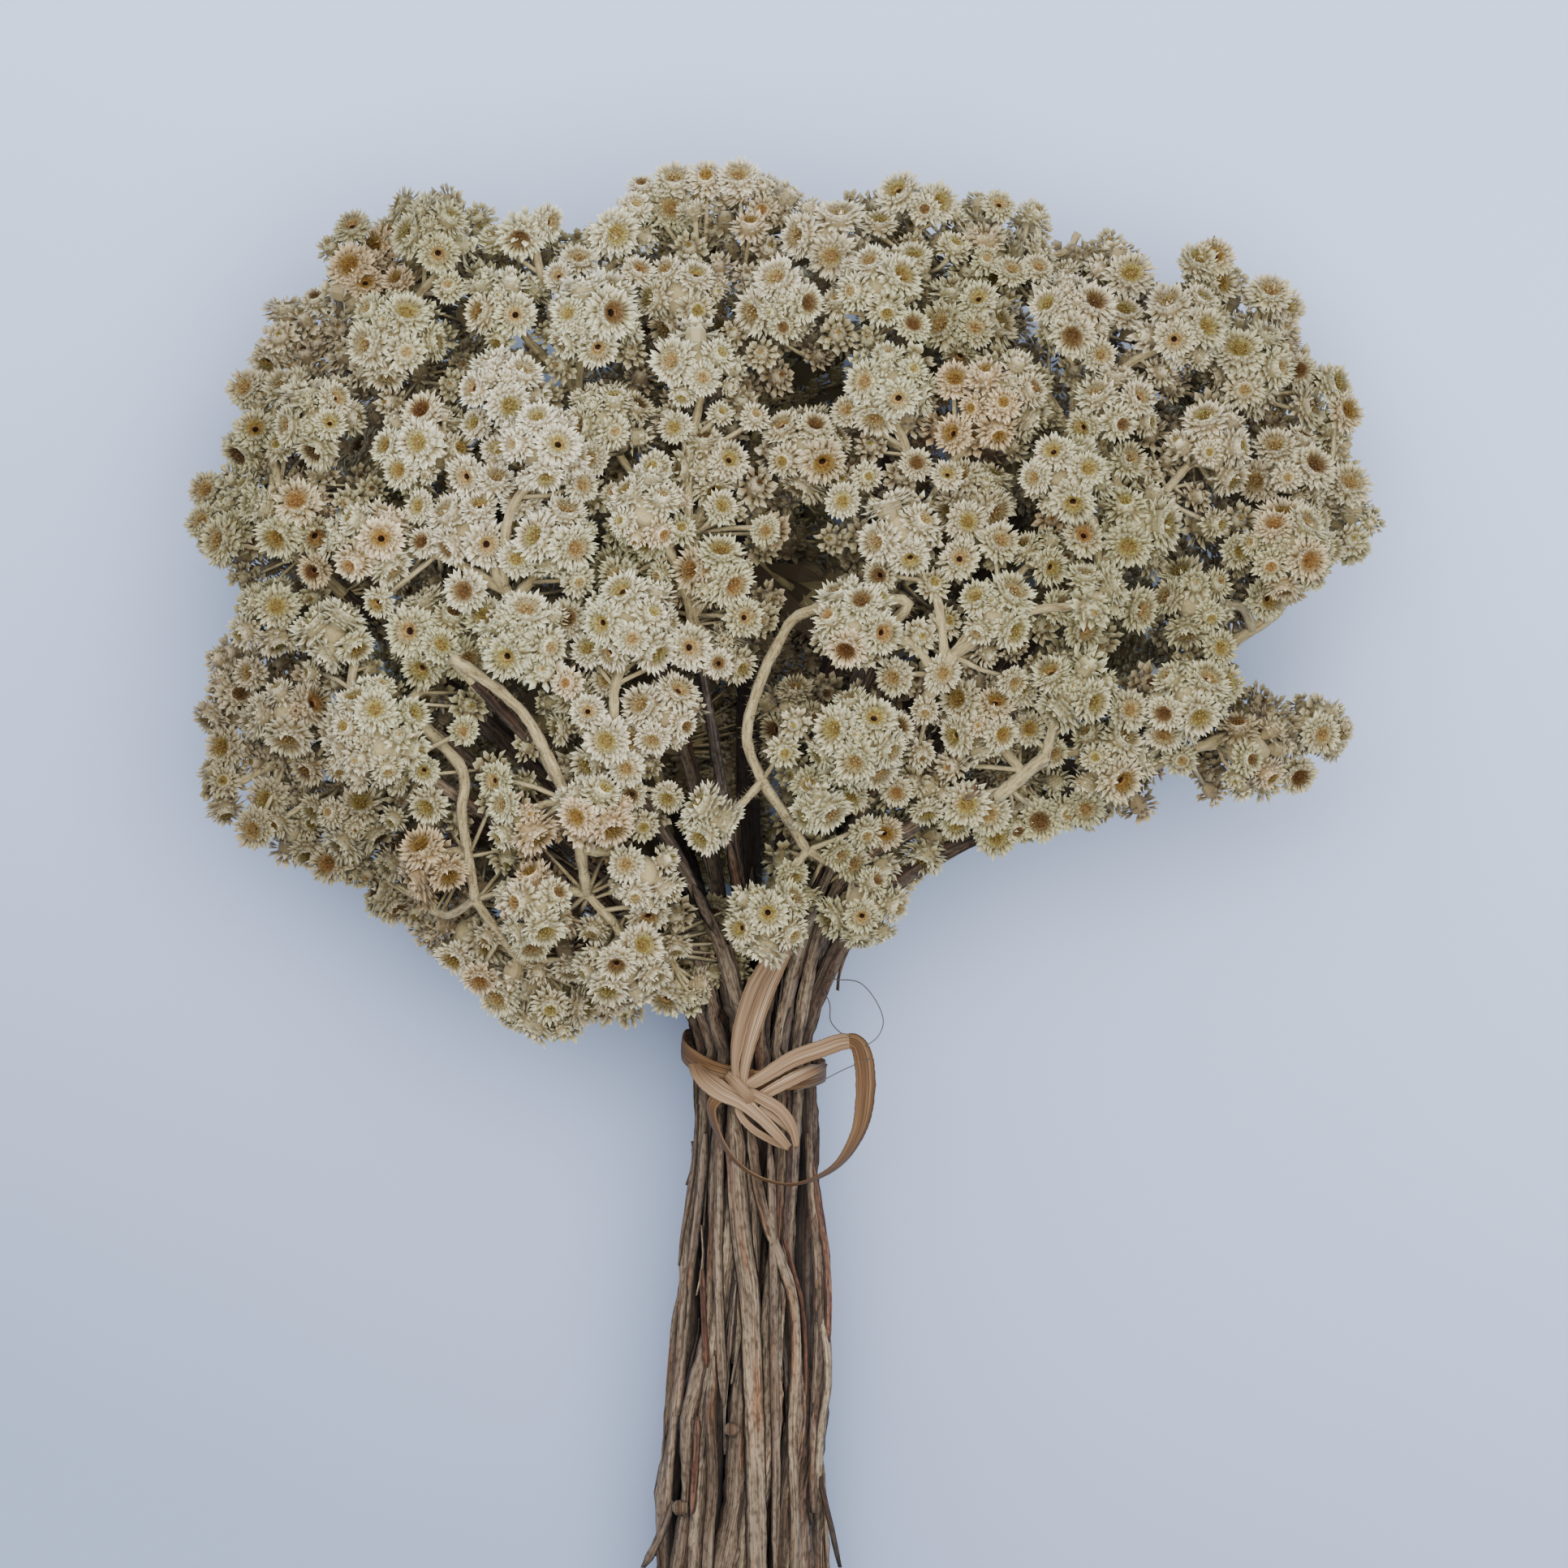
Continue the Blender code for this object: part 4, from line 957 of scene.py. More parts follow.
class Heads:
    """Every flower head: on the clumps, as buds between those, and in the gaps between clumps."""

    def __init__(self, layout, radius, uneven):
        self.layout = layout
        self.radius = radius
        self.uneven = uneven
        self.draw = np.random.default_rng(SEED)
        self.facing = [layout.facing(k, layout.branches[k][0]) for k in range(len(layout.radius))]
        self.tone = self.draw.uniform(size=len(layout.radius))
        self.made = []
        self.places = np.zeros((MOST_HEADS, 3))
        self.sizes = np.zeros(MOST_HEADS)
        self.cover_clumps()
        for k in range(len(layout.radius)):
            self.add_buds(k)
        self.twigs = layout.twigs()
        self.add_rim_heads()
        for fill_layer in FILL_LAYERS:
            self.add_fillers(*fill_layer)
        self.close_gaps()
        self.leaves = []
        self.add_leaves()

    def add(self, head):
        """Keeps a head outside the dents, and its place and size where they are quick to compare."""
        if is_dented(head.place) or inside(head.place[0], head.place[1], NOTCH):
            return
        self.places[len(self.made)] = head.place
        self.sizes[len(self.made)] = head.size
        self.made.append(head)

    def on_clump(self, k, place, size, kind):
        """A head that grows from a clump's stalk."""
        root = self.layout.place[k] - self.facing[k] * self.layout.radius[k] * PEDICEL_ROOT
        out = unit(unit(place - self.layout.place[k]) + PEDICEL_LEAN * self.facing[k])
        return Head(place, size, kind, self.layout.owner[k], root, out, self.tone[k])

    def is_free(self, place, size, nearness):
        """Whether no earlier head is too near."""
        count = len(self.made)
        apart = np.linalg.norm(self.places[:count] - place, axis=1)
        return (apart - (self.sizes[:count] + size) * nearness).min(initial=1.0) > 0.0

    def is_covered(self, x, y, share):
        """Whether a head lies over a place, counting a share of the head's size."""
        count = len(self.made)
        over = np.hypot(self.places[:count, 0] - x, self.places[:count, 1] - y)
        return (over - self.sizes[:count] * share).min() < 0.0

    def cover_clumps(self):
        """Spreads heads evenly over the clumps and pushes them apart."""
        layout, draw = self.layout, self.draw
        clumps, directions, sizes = [], [], []
        for k, radius in enumerate(layout.radius):
            shell = radius - HEAD_SINK * self.radius
            area = 4.0 * math.pi * shell**2
            count = round(area / (PACKING * (HEAD_SPACING * self.radius) ** 2))
            points = even_directions(max(FEWEST_HEADS, count))
            points = points[points[:, 2] > HEAD_REACH] @ turned_to(self.facing[k], 0.0).T
            clumps += [k] * len(points)
            directions += list(points)
            sizes += list(self.radius * (1.0 + self.uneven * draw.uniform(-1.0, 1.0, len(points))))
        clumps, directions, sizes = np.array(clumps), np.array(directions), np.array(sizes)
        centre = layout.place[clumps]
        shell = layout.radius[clumps] - HEAD_SINK * sizes
        shell = shell * (1.0 + draw.uniform(*SHELL_UNEVEN, len(sizes)))
        place = centre + directions * shell[:, None]
        for _ in range(SPREAD_STEPS):
            between = place[:, None] - place[None]
            apart = np.linalg.norm(between, axis=2) + TINY
            short = np.maximum((sizes[:, None] + sizes[None]) * HEAD_NEARNESS - apart, 0.0)
            np.fill_diagonal(short, 0.0)
            place += (between / apart[..., None] * short[..., None]).sum(axis=1) * SPREAD_SHARE
            place = centre + unit_rows(place - centre) * shell[:, None]
            place[:, 2] = np.maximum(place[:, 2], sizes * FLOOR_CLEAR)
        away = np.linalg.norm(place[:, None] - layout.place[None], axis=2) - layout.radius
        away[np.arange(len(clumps)), clumps] = 0.0
        for h in np.flatnonzero((away + BURIED * sizes[:, None]).min(axis=1) > 0.0):
            kind = BACK if layout.radius[clumps[h]] == UNDER_RADIUS else FRONT
            if is_dented(place[h]):
                inward = -unit(outward_from_crown(place[h])[:2])
                while is_dented(place[h]):
                    place[h][:2] += DENT_STEP * inward
                if not self.is_free(place[h], sizes[h], PUSHED_NEARNESS):
                    continue
            self.add(self.on_clump(clumps[h], place[h], sizes[h], kind))

    def add_buds(self, k):
        """Adds small closed heads where a clump's surface would show between its heads."""
        for out in unit_rows(self.draw.normal(size=(BUD_TRIES, 3))):
            size = self.radius * self.draw.uniform(*BUD_SIZE)
            place = self.layout.place[k] + out * (self.layout.radius[k] - size - BUD_INSET)
            place[2] = max(place[2], size * FLOOR_CLEAR)
            away = np.linalg.norm(self.layout.place - place, axis=1) - self.layout.radius
            away[k] = 0.0
            shown = out @ self.facing[k] > HEAD_REACH and away.min() > -BUD_OVERLAP
            if shown and self.is_free(place, size, BUD_NEARNESS):
                self.add(self.on_clump(k, place, size, BUD))

    def add_rim_heads(self):
        """Adds the heads that stand out from the crown's rim."""
        for x, y, *height in RIM_HEADS:
            size = self.radius * (1.0 + self.uneven * self.draw.uniform(*SIZE_SPREAD))
            z = height[0] if height else CROWN_MID + self.draw.uniform(*RIM_LIFT)
            place = np.array([x, y, z])
            if self.is_free(place, size, 0.5 * FILL_NEARNESS):
                root, spray = self.nearest_twig(place)
                if np.linalg.norm(place - root) < RIM_REACH:
                    lean = (0.0, 0.0, self.draw.uniform(*RIM_LEAN))
                    out = unit(outward_from_crown(place) + lean)
                    self.add(Head(place, size, FRONT, spray, root, out, self.draw.uniform()))

    def add_fillers(self, upper, least, most):
        """Adds a layer of heads in the gaps between clumps, on pedicels from the nearest twigs."""
        draw = self.draw
        x, y = np.meshgrid(np.arange(*ACROSS, FILL_STEP), np.arange(*ALONG, FILL_STEP))
        grid = np.column_stack([x.ravel(), y.ravel()])
        kind = FRONT if upper and most < DEEP else BACK
        for x, y in draw.permutation(grid + draw.uniform(-0.5, 0.5, grid.shape) * FILL_STEP):
            size = self.radius * (FILL_SIZE + self.uneven * draw.uniform(*SIZE_SPREAD))
            low, high = crown_surfaces(x, y, size)
            depth = draw.uniform(least, most)
            place = np.array([x, y, high - depth if upper else max(low + depth, size * FLOOR_CLEAR)])
            bare = upper and any(inside(x, y, outline) for outline in OPEN_CLEFTS)
            bare |= inside(x, y, NOTCH) or high - low < FILL_THICKNESS * size
            away = np.linalg.norm(self.layout.place - place, axis=1)
            buried = (away - self.layout.radius).min() < -BURIED * size
            if bare or buried or self.hides_stalk(place, size):
                continue
            root, spray = self.nearest_twig(place)
            if np.linalg.norm(place - root) < FILL_REACH and self.is_free(place, size, FILL_NEARNESS):
                out = unit(outward_from_crown(place) + 0.5 * unit(place - root))
                self.add(Head(place, size, kind, spray, root, out, self.tone[int(away.argmin())]))

    def close_gaps(self):
        """Adds heads deep in the crown wherever the surface would show through from above."""
        for x, y in crown_grid(CLOSE_STEP, ALONG[0] + CLOSE_STEP):
            size = self.radius * self.draw.uniform(*CLOSE_SIZE)
            cores = np.hypot(self.layout.place[:, 0] - x, self.layout.place[:, 1] - y)
            covered = (cores - self.layout.radius + CORE_COVER * self.radius).min() < 0.0
            low, high = crown_surfaces(x, y, size)
            thin = high - low < CLOSE_THICKNESS or inside(x, y, NOTCH)
            if covered or thin or self.is_covered(x, y, COVER):
                continue
            place = np.array([x, y, max(low + 0.3 * (high - low), size)])
            root, spray = self.nearest_twig(place)
            place[2] = np.clip(root[2], max(low + 5.0, size), low + 0.55 * (high - low))
            if np.linalg.norm(place - root) < CLOSE_REACH:
                out = unit(outward_from_crown(place) + (0.0, 0.0, 1.0))
                self.add(Head(place, size, BACK, spray, root, out, CLOSE_TONE))

    def add_leaves(self):
        """Adds withered leaves, painted dark as shade, low in the crown where light would still come
        through between heads.
        """
        for x, y in crown_grid(LEAF_STEP, ALONG[0]):
            low, high = crown_surfaces(x, y, self.radius)
            thin = high - low < LEAF_THICKNESS or crown_fraction(x, y, 0.0) > LEAF_RIM
            if thin or self.is_covered(x, y, LEAF_COVER):
                continue
            place = np.array([x, y, low + self.draw.uniform(*LEAF_LEVEL) * (high - low)])
            root, spray = self.nearest_twig(place)
            place[2] = max(0.5 * (place[2] + root[2]), 2.0)
            reach = np.linalg.norm(place - root)
            tip = place + (place - root) / (reach + TINY) * LEAF_AHEAD
            crowded = any(math.dist(leaf[1][:2], (x, y)) < LEAF_APART for leaf in self.leaves)
            outside = is_dented(tip, 2.0) or crown_fraction(tip[0], tip[1], 0.0) > LEAF_RIM
            outside |= inside(x, y, NOTCH) or inside(tip[0], tip[1], NOTCH)
            if LEAF_REACH[0] < reach < LEAF_REACH[1] and not crowded and not outside:
                self.leaves.append((root, place, spray))

    def hides_stalk(self, place, size):
        """Whether a head would cover or run into one of the stalks that hang in front."""
        for name in HANGING_STALKS:
            path = self.layout.stalks[self.layout.names.index(name)]
            point = nearest_on(path[:-1], np.diff(path, axis=0), place)[0]
            aside = np.hypot(*(place - point)[:2])
            if aside < size + STALK_CLEAR and place[2] > point[2] - size - 2.0:
                return True
        return False

    def nearest_twig(self, place):
        """Where a pedicel leaves the nearest stalk or branch, and the spray that it belongs to."""
        starts, spans, sprays = self.twigs
        point, index = nearest_on(starts, spans, place)
        back = starts[index] - point
        length = np.linalg.norm(back) + TINY
        point = point + back / length * min(length, PEDICEL_SLANT * np.linalg.norm(place - point))
        return point, sprays[index]


def nearest_on(starts, spans, place):
    """Nearest point to a place on any of several straight stretches, and which stretch it is on."""
    part = ((place - starts) * spans).sum(axis=1) / (spans * spans).sum(axis=1)
    points = starts + spans * np.clip(part, 0.0, 1.0)[:, None]
    index = int(np.linalg.norm(points - place, axis=1).argmin())
    return points[index], index


def crown_surfaces(x, y, radius):
    """Heights of the crown's underside and upper side for a head's centre."""
    dome = crown_dome(x, y, radius)
    return CROWN_MID - CROWN_SAG * dome, CROWN_MID + CROWN_RISE * dome


def in_circles(place, circles, margin=0.0):
    """Whether a place lies in any of several circles, each x, y and reach, or near their edge."""
    return any(math.hypot(place[0] - x, place[1] - y) < reach + margin for x, y, reach in circles)


def is_dented(place, margin=0.0):
    """Whether a place lies in one of the dents in the crown's rim, or within a margin of one."""
    return in_circles(place, DENTS, margin)


def crown_grid(step, first_y):
    """Places in even rows over the whole crown, as x and y."""
    return [(x, y) for x in np.arange(*ACROSS, step) for y in np.arange(first_y, ALONG[1], step)]


def even_directions(count):
    """Directions spread evenly over a ball."""
    spots = np.arange(count) + 0.5
    polar, around = np.arccos(1 - 2 * spots / count), spots * math.pi * (1 + math.sqrt(5))
    level = np.sin(polar)
    return np.column_stack([np.cos(around) * level, np.sin(around) * level, np.cos(polar)])


def inside(x, y, outline):
    """Whether a point lies inside an outline."""
    crossings = 0
    for (ax, ay), (bx, by) in zip(outline, outline[1:] + outline[:1]):
        if (ay > y) != (by > y) and x < ax + (y - ay) * (bx - ax) / (by - ay):
            crossings += 1
    return crossings % 2 == 1


def turned_to(direction, spin):
    """Turns +Z to a direction after a spin about it."""
    turn = Vector(direction).to_track_quat("Z", "Y").to_matrix()
    c, s = math.cos(spin), math.sin(spin)
    return np.array(turn) @ np.array([(c, -s, 0.0), (s, c, 0.0), (0.0, 0.0, 1.0)])


def lumpy_ball(draw, centre, radius):
    """Rough ball that fills a clump behind its heads."""
    points, faces = lathe([(math.sqrt(1 - z * z), z) for z in BALL_LEVELS], BALL_SIDES)
    points = points * (1.0 + draw.uniform(-BALL_UNEVEN, BALL_UNEVEN, (len(points), 1)))
    return centre + points * radius, faces


def pressed(points):
    """Points with whatever is below the surface pressed flat onto it."""
    points = points.copy()
    low = points[:, 2] < FLAT_BELOW
    points[low, 2] = FLAT_AT + FLAT_DEPTH * np.exp(points[low, 2] - FLAT_BELOW)
    return points


def add_corymb(layout, heads, shapes, i, finishes):
    """Woolly stalks of one spray, its flower heads and its withered leaves."""
    draw = np.random.default_rng([SEED, i])
    parts = Parts()
    name = layout.names[i]
    fuzzy = name in HANGING_STALKS
    slim = HANGING_SLIM if fuzzy else STALK_SLIM
    stalk = layout.stalks[i]
    root = stalk[0] - STALK_SINK * unit_rows(stalk[1] - stalk[0])
    add_branch(parts, draw, [root, stalk], STALK_RADIUS * slim, STALK_NARROW, fuzzy)
    for k in np.flatnonzero(layout.owner == i):
        centre = layout.place[k]
        if inside(centre[0], centre[1], NOTCH):
            continue
        branch = [layout.branches[k], centre]
        add_branch(parts, draw, branch, BRANCH_RADIUS * slim, BRANCH_NARROW, fuzzy)
        core = layout.radius[k] - CORE_INSET * heads.radius
        if core > LEAST_CORE and not is_dented(centre, core):
            points, faces = lumpy_ball(draw, centre, core)
            parts.add(points, faces, (*BALL_SHADE, draw.uniform(*BALL_SHIFTS)), WOOL)
    for head in heads.made:
        if head.spray == i:
            add_head(parts, draw, shapes, head)
    for root, place, spray in heads.leaves:
        if spray == i:
            add_leaf(parts, draw, root, place)
    return parts.make(f"flowers_{name}", [f"corymb_{name}"], finishes, flat=(BRACT,))


def add_branch(parts, draw, points, radius, narrow, fuzzy):
    """Stalk on a smooth curve through stacked points, with hairs where it is fuzzy."""
    path = smooth_path(np.vstack(points), STALK_STEP)
    add_stalk(parts, draw, path, radius, narrow)
    if fuzzy:
        add_fuzz(parts, draw, path, radius)


def add_head(parts, draw, shapes, head):
    """Flower head on its pedicel, turned, squashed and shaded in its own way."""
    direction = unit(head.out + draw.normal(0.0, HEAD_TILT, 3))
    if head.place[2] > head.size:
        neck = head.place - direction * head.size * NECK
        bend = (head.root + neck) / 2 + draw.normal(0.0, PEDICEL_BEND, 3)
        path, sides = ((head.root, neck), 3) if head.kind == BACK else ((head.root, bend, neck), 4)
        add_stalk(parts, draw, np.array(path), PEDICEL_RADIUS, 1.0, sides)
    kind = draw.choice(len(shapes), p=KIND_SHARES[BACK if direction[2] < TURNED_AWAY else head.kind])
    size = HALF_SIZE if HEAD_KINDS[kind] == "half" else 1.0
    turn = turned_to(direction, draw.uniform(0.0, math.tau))
    squash = [draw.uniform(*span) for span in HEAD_SQUASH]
    shape = shapes[kind]
    points = head.place + (shape.points * squash) @ turn.T * head.size * size
    shade = shape.shade.copy()
    shade[:, 1] = 0.5 * head.tone + 0.5 * draw.uniform()
    if in_circles(head.place, ROSY_PLACES):
        shade[:, 1] = 1.0
    # Painted shade: the head's light number is darkened by its depth in the crown and by its place on it
    depth_shade, lit = head_light(head)
    shade[:, 2] = depth_shade * (EVEN_LIGHT + (1.0 - EVEN_LIGHT) * shade[:, 2]) * lit
    parts.add(pressed(points), shape.faces, shade, shape.finish)


def head_light(head):
    """Painted shade of a head: how bright it stays at its depth in the crown, and how much light reaches
    its place on the crown.
    """
    x, y, z = head.place
    low, high = crown_surfaces(x, y, head.size)
    depth_shade = np.interp(min(high - z, z - low), SHADE_DEPTHS, DEPTH_LIGHT)
    rim = np.interp(crown_fraction(x, y, 0.0), *RIM)
    rim_painted_shade = rim * (RIM_SHADE + (LEFT_SHADE if x < LEFT_END else 0.0))
    return depth_shade, 1.0 - (rim_painted_shade + np.interp(math.dist((x, y), BRIGHTEST), *FADE))


def add_leaf(parts, draw, root, middle):
    """Narrow withered leaf from a twig, widest at its middle."""
    ahead = unit(middle - root)
    side = unit(np.cross((0.0, 0.0, 1.0), ahead))
    up = np.cross(ahead, side)
    tip = middle + ahead * draw.uniform(*LEAF_TIP) - (0.0, 0.0, draw.uniform(0.0, LEAF_DROOP))
    rings = []
    halves = (LEAF_ENDS[0], draw.uniform(*LEAF_WIDTH), LEAF_ENDS[1])
    rise, sink = up * LEAF_RISE[0], up * LEAF_RISE[1]
    for place, half in zip((root, middle, tip), halves):
        rings.append([place + side * half, place + rise, place - side * half, place - sink])
    points, faces = lofted(np.array(rings))
    # Painted shade: the leaf's shading vector makes it dark like the shade between heads
    parts.add(pressed(points), faces, LEAF_SHADE, BRACT)


def add_stalk(parts, draw, path, radius, narrow, sides=8):
    """Woolly stalk along a path, thinner at its end by a share, with an uneven surface."""
    radii = np.linspace(radius, radius * narrow, len(path))
    radii *= 1.0 + draw.normal(0.0, STALK_UNEVEN, len(path))
    ridges = draw.normal(0.0, STALK_RIDGES, (len(path), sides))
    points, faces, shade = bar(path, radii, STALK_SIDE, sides, ridges)
    shade[:, 2] += draw.uniform(*STALK_SHIFTS)
    parts.add(pressed(points), faces, shade, WOOL)


def add_fuzz(parts, draw, path, radius):
    """Short hairs of wool that stand off a stalk."""
    across, up = carried_frames(path, STALK_SIDE)
    for _ in range(round(distances(path)[-1] * HAIRS)):
        k = int(draw.integers(0, len(path) - 1))
        turn = draw.uniform(0.0, math.tau)
        out = across[k] * math.cos(turn) + up[k] * math.sin(turn)
        foot = path[k] + (path[k + 1] - path[k]) * draw.uniform() + out * radius * 0.7
        stray = unit(out + draw.normal(0.0, HAIR_DISORDER, 3))
        tip = foot + out * radius * 0.2 + stray * draw.uniform(*HAIR_LENGTH)
        side = unit(np.cross(tip - foot, draw.normal(size=3)))
        other = unit(np.cross(tip - foot, side))
        ring = [foot + (side * math.cos(a) + other * math.sin(a)) * HAIR_RADIUS for a in HAIR_TURNS]
        points = np.array([*ring, tip])
        parts.add(points, spike_faces(points), HAIR_SHADE, WOOL)


# Stems: step of their paths, sides, which way is their side, how far they wander sideways and upward
# between which places along Y, how near the tie they are held and how much they differ in thickness
STEM_STEP = 2.0
STEM_SIDES = 14
STEM_SIDE = np.array([1.0, 0.0, 0.2])
STEM_WOBBLE = (0.75, 0.5)
WOBBLE_Y = np.arange(CUT_Y, 30.0, 14.0)
WOBBLE_END = 12.0
HELD = 8.0
STEM_FULLNESS = (0.84, 1.18)

# The outer stems on the right draw in under the hanging clumps: from where on, how far, and where
# along Y
DRAWN_IN = (14.0, 9.0, 36.0, 14.0)

# Bark: waves round a stem with their depths as shares of its radius, how much those differ and
# twist, and knots and roughness
STEM_WAVES = ((2, 0.22), (3, 0.11), (5, 0.09), (7, 0.07))
WAVE_DEPTHS = (0.6, 1.3)
STEM_TWIST = 0.025
KNOT_STEP = 5
KNOTS = 0.12
BARK_ROUGH = 0.06

# Painted shade on the stems: how light a stem's cut end is, how much darker it is painted inside the
# bundle, where the stems fan out and how light they are there, along Y
CUT_LIGHT = 1.8
INNER_SHADE = 2.2
FANNED = ((0.0, 14.0), (0.0, 0.8))
FAN_LIGHT = ((24.0, 42.0), (1.5, 0.8))

# Tones of the stems on top. The finish takes a stem's or strip's tone from its number: the distance
# along it starts at a stride times the number, and each number takes the next tone
STEM_TONES = {
    "low_left": 0.64, "hanging_left": 0.56, "hanging_inner": 0.46, "front_left": 0.59, "bright_left": 0.40,
    "low_centre": 0.50, "hanging_centre": 0.54, "front_right": 0.68, "low_right": 0.57, "inner_right": 0.44,
    "corner_low_right": 0.36,
}
STEM_STRIDE = 300.0
TONE_STEP = 0.618034
NUMBERS_EACH = 20
TONE_NUMBERS = 1000 + np.arange(400)

# Strips of bark and withered leaves on each stem: how many, between which places along Y, their
# lengths in steps of the stem's path, half widths and how far their ends lift off
PEELS = (
    (7, (-96, 4), (8, 22), (0.3, 0.9), 0.6),
    (1, (-60, 40), (5, 12), (0.2, 0.45), 1.8),
    (3, (2, 48), (6, 13), (0.6, 1.4), 0.9),
)
PEEL_TURN = 0.5
PEEL_STAND = 1.05

# Strips that stand out on top of the bundle: tone, half width and places as x and y
STRIP_BEARER = "hanging_centre"
BARK_STRIPS = (
    (0.56, 1.8, ((-5, 0), (-4.5, -12), (-3.6, -24), (-2.2, -34), (-1.6, -48), (-1.1, -62), (-0.9, -76),
        (-0.8, -95))),
    (0.6, 1, ((-2.4, -2), (-1.2, -14), (0.6, -22), (2.8, -28), (5, -35), (5.5, -45), (4.9, -56),
        (5.3, -72), (5, -90))),
    (0.9, 0.4, ((3.4, -25), (5.2, -31), (6.6, -37), (7, -48), (6.2, -58))),
    (0.91, 0.6, ((-9.8, -30), (-9.7, -38), (-9.2, -46))),
    (0.89, 0.6, ((-10.6, -54), (-11, -61), (-11.6, -70))),
    (0.42, 1.1, ((7.4, -8), (8.2, -18), (8.9, -28), (9.2, -40), (8.6, -54), (8.2, -70))),
    (0.89, 0.9, ((8, -12), (9.2, -20), (10.4, -28), (10.7, -36), (10.6, -42))),
    (0.3, 1.1, ((8.2, -18), (9.2, -28), (9.5, -38), (9.2, -48), (8.4, -58))),
    (0.64, 1, ((9, -36), (10.4, -42), (10.6, -49), (9.6, -56), (8.8, -66))),
    (0.45, 0.9, ((-9.4, -8), (-10.6, -20), (-12, -32), (-13.2, -44), (-13.9, -54))),
    (0.5, 0.9, ((-7.2, -4), (-7.2, -18), (-7.4, -28), (-7, -40), (-6.4, -52))),
    (0.57, 1, ((-8, -44), (-8.6, -54), (-8.2, -64), (-9, -76), (-9.4, -94))),
    (0.03, 0.6, ((8, -54), (8.6, -61), (10.4, -69), (12.6, -79))),
    (0.48, 0.9, ((-12.6, -30), (-13.8, -44), (-14.8, -56), (-15.4, -64), (-15.8, -72))),
    (0.38, 0.8, ((1, -8), (1.6, -20), (1.8, -34), (1.9, -48), (2.2, -62), (2, -80))),
    (0.3, 0.9, ((-14.8, -68), (-17, -74), (-19.6, -79))),
)

# Sections of strips as the place across, as a share of the half width, and the rise, how steeply
# they narrow to their ends, how uneven their edges and surfaces are, and how light each is, with
# painted shade along the edges
STRIP_PROFILE = (
    (-1.0, -0.35), (-0.72, 0.18), (-0.2, 0.42), (0.35, 0.40), (0.78, 0.14), (1.0, -0.35), (0.0, -0.40),
)
PEEL_PROFILE = ((-1.0, -0.25), (-0.5, 0.02), (0.0, 0.20), (0.5, 0.05), (1.0, -0.22), (0.0, -0.16))
STRIP_TAPER = 7.0
PEEL_TAPER = 3.0
STRIP_TIP = 0.05
STRIP_UNEVEN = 0.05
STRIP_ROUGH = 0.06
THINNEST = 0.7
STRIP_LIGHT = 1.4
EDGE_LIGHT = 0.3

# How far over the bundle strips lie near the tie and away from it, and how far round its side
OVER_BUNDLE = ((5.0, 12.0), (-0.2, 0.7))
ROUND_SIDE = 0.8

# Stubs of cut twigs on top of the bundle: x, y and radius, with their light and tone
STUBS = ((-5.0, -56.0, 1.2), (-13.4, -69.0, 1.4))
STUB_LIGHT = 1.2
STUB_TONE = 0.66
STUB_RUN = 9.0


def add_stem(layout, i, finish):
    """Woody stem: flattened, ridged along its length, with bark that peels off it in strips."""
    draw = np.random.default_rng([SEED, 100 + i])
    name, number = layout.names[i], NUMBERS_EACH * i
    path = stem_course(draw, layout.stems[i])
    run = path[:, 1]
    radii = np.array([stem_radius(y) for y in run]) * draw.uniform(*STEM_FULLNESS)
    ridges = stem_ridges(draw, run)
    points, faces, shade = bar(path, radii, STEM_SIDE, STEM_SIDES, ridges)
    shade[:-2, 1] = stem_light(path, points[:-2].reshape(len(path), STEM_SIDES, 3)).ravel()
    shade[:STEM_SIDES, 1] = shade[-2, 1] = CUT_LIGHT
    shade[:, 2] += STEM_STRIDE * (numbered(STEM_TONES[name]) if name in STEM_TONES else number)
    parts = Parts()
    parts.add(pressed(points), faces, shade)
    for count, (low, high), steps, half_widths, lift in PEELS:
        at = np.flatnonzero((run > low) & (run < high))
        for _ in range(count):
            number += 1
            length = int(draw.integers(*steps))
            if len(at) > length + 1:
                first = int(draw.integers(at[0], at[-1] - length))
                part = slice(first, first + length)
                half_width = draw.uniform(*half_widths)
                add_peel(parts, draw, path[part], radii[part], number, half_width, lift)
    if name == STRIP_BEARER:
        add_top_strips(parts, draw)
    return parts.make(f"wood_{name}", [f"stem_{name}"], [finish])


def stem_course(draw, nodes):
    """Path of a stem that wanders a little, and draws in under the hanging clumps on the right."""
    path = smooth_path(nodes, STEM_STEP)
    run = path[:, 1]
    for axis, most in zip((0, 2), STEM_WOBBLE):
        offsets = draw.normal(0.0, most, len(WOBBLE_Y)) * (np.abs(WOBBLE_Y) > HELD)
        path[:, axis] += np.interp(run, WOBBLE_Y, offsets) * (run < WOBBLE_END)
    from_x, most, middle, spread = DRAWN_IN
    if np.interp(middle, run, path[:, 0]) > from_x:
        path[:, 0] -= most * np.exp(-(((run - middle) / spread) ** 2))
    return path


def stem_ridges(draw, run):
    """Ridges, knots and roughness of a stem's bark, as shares of its radius."""
    angle = np.arange(STEM_SIDES) * math.tau / STEM_SIDES
    ridges = np.zeros((len(run), STEM_SIDES))
    for waves, depth in STEM_WAVES:
        phase = draw.uniform(0, math.tau) + run[:, None] * draw.normal(0.0, STEM_TWIST)
        ridges += depth * draw.uniform(*WAVE_DEPTHS) * np.cos(waves * angle + phase)
    marks = np.arange(0, len(run) + KNOT_STEP, KNOT_STEP)
    knots = np.interp(np.arange(len(run)), marks, draw.normal(0.0, KNOTS, len(marks)))
    return ridges + (knots[:, None] + draw.normal(0.0, BARK_ROUGH, ridges.shape))


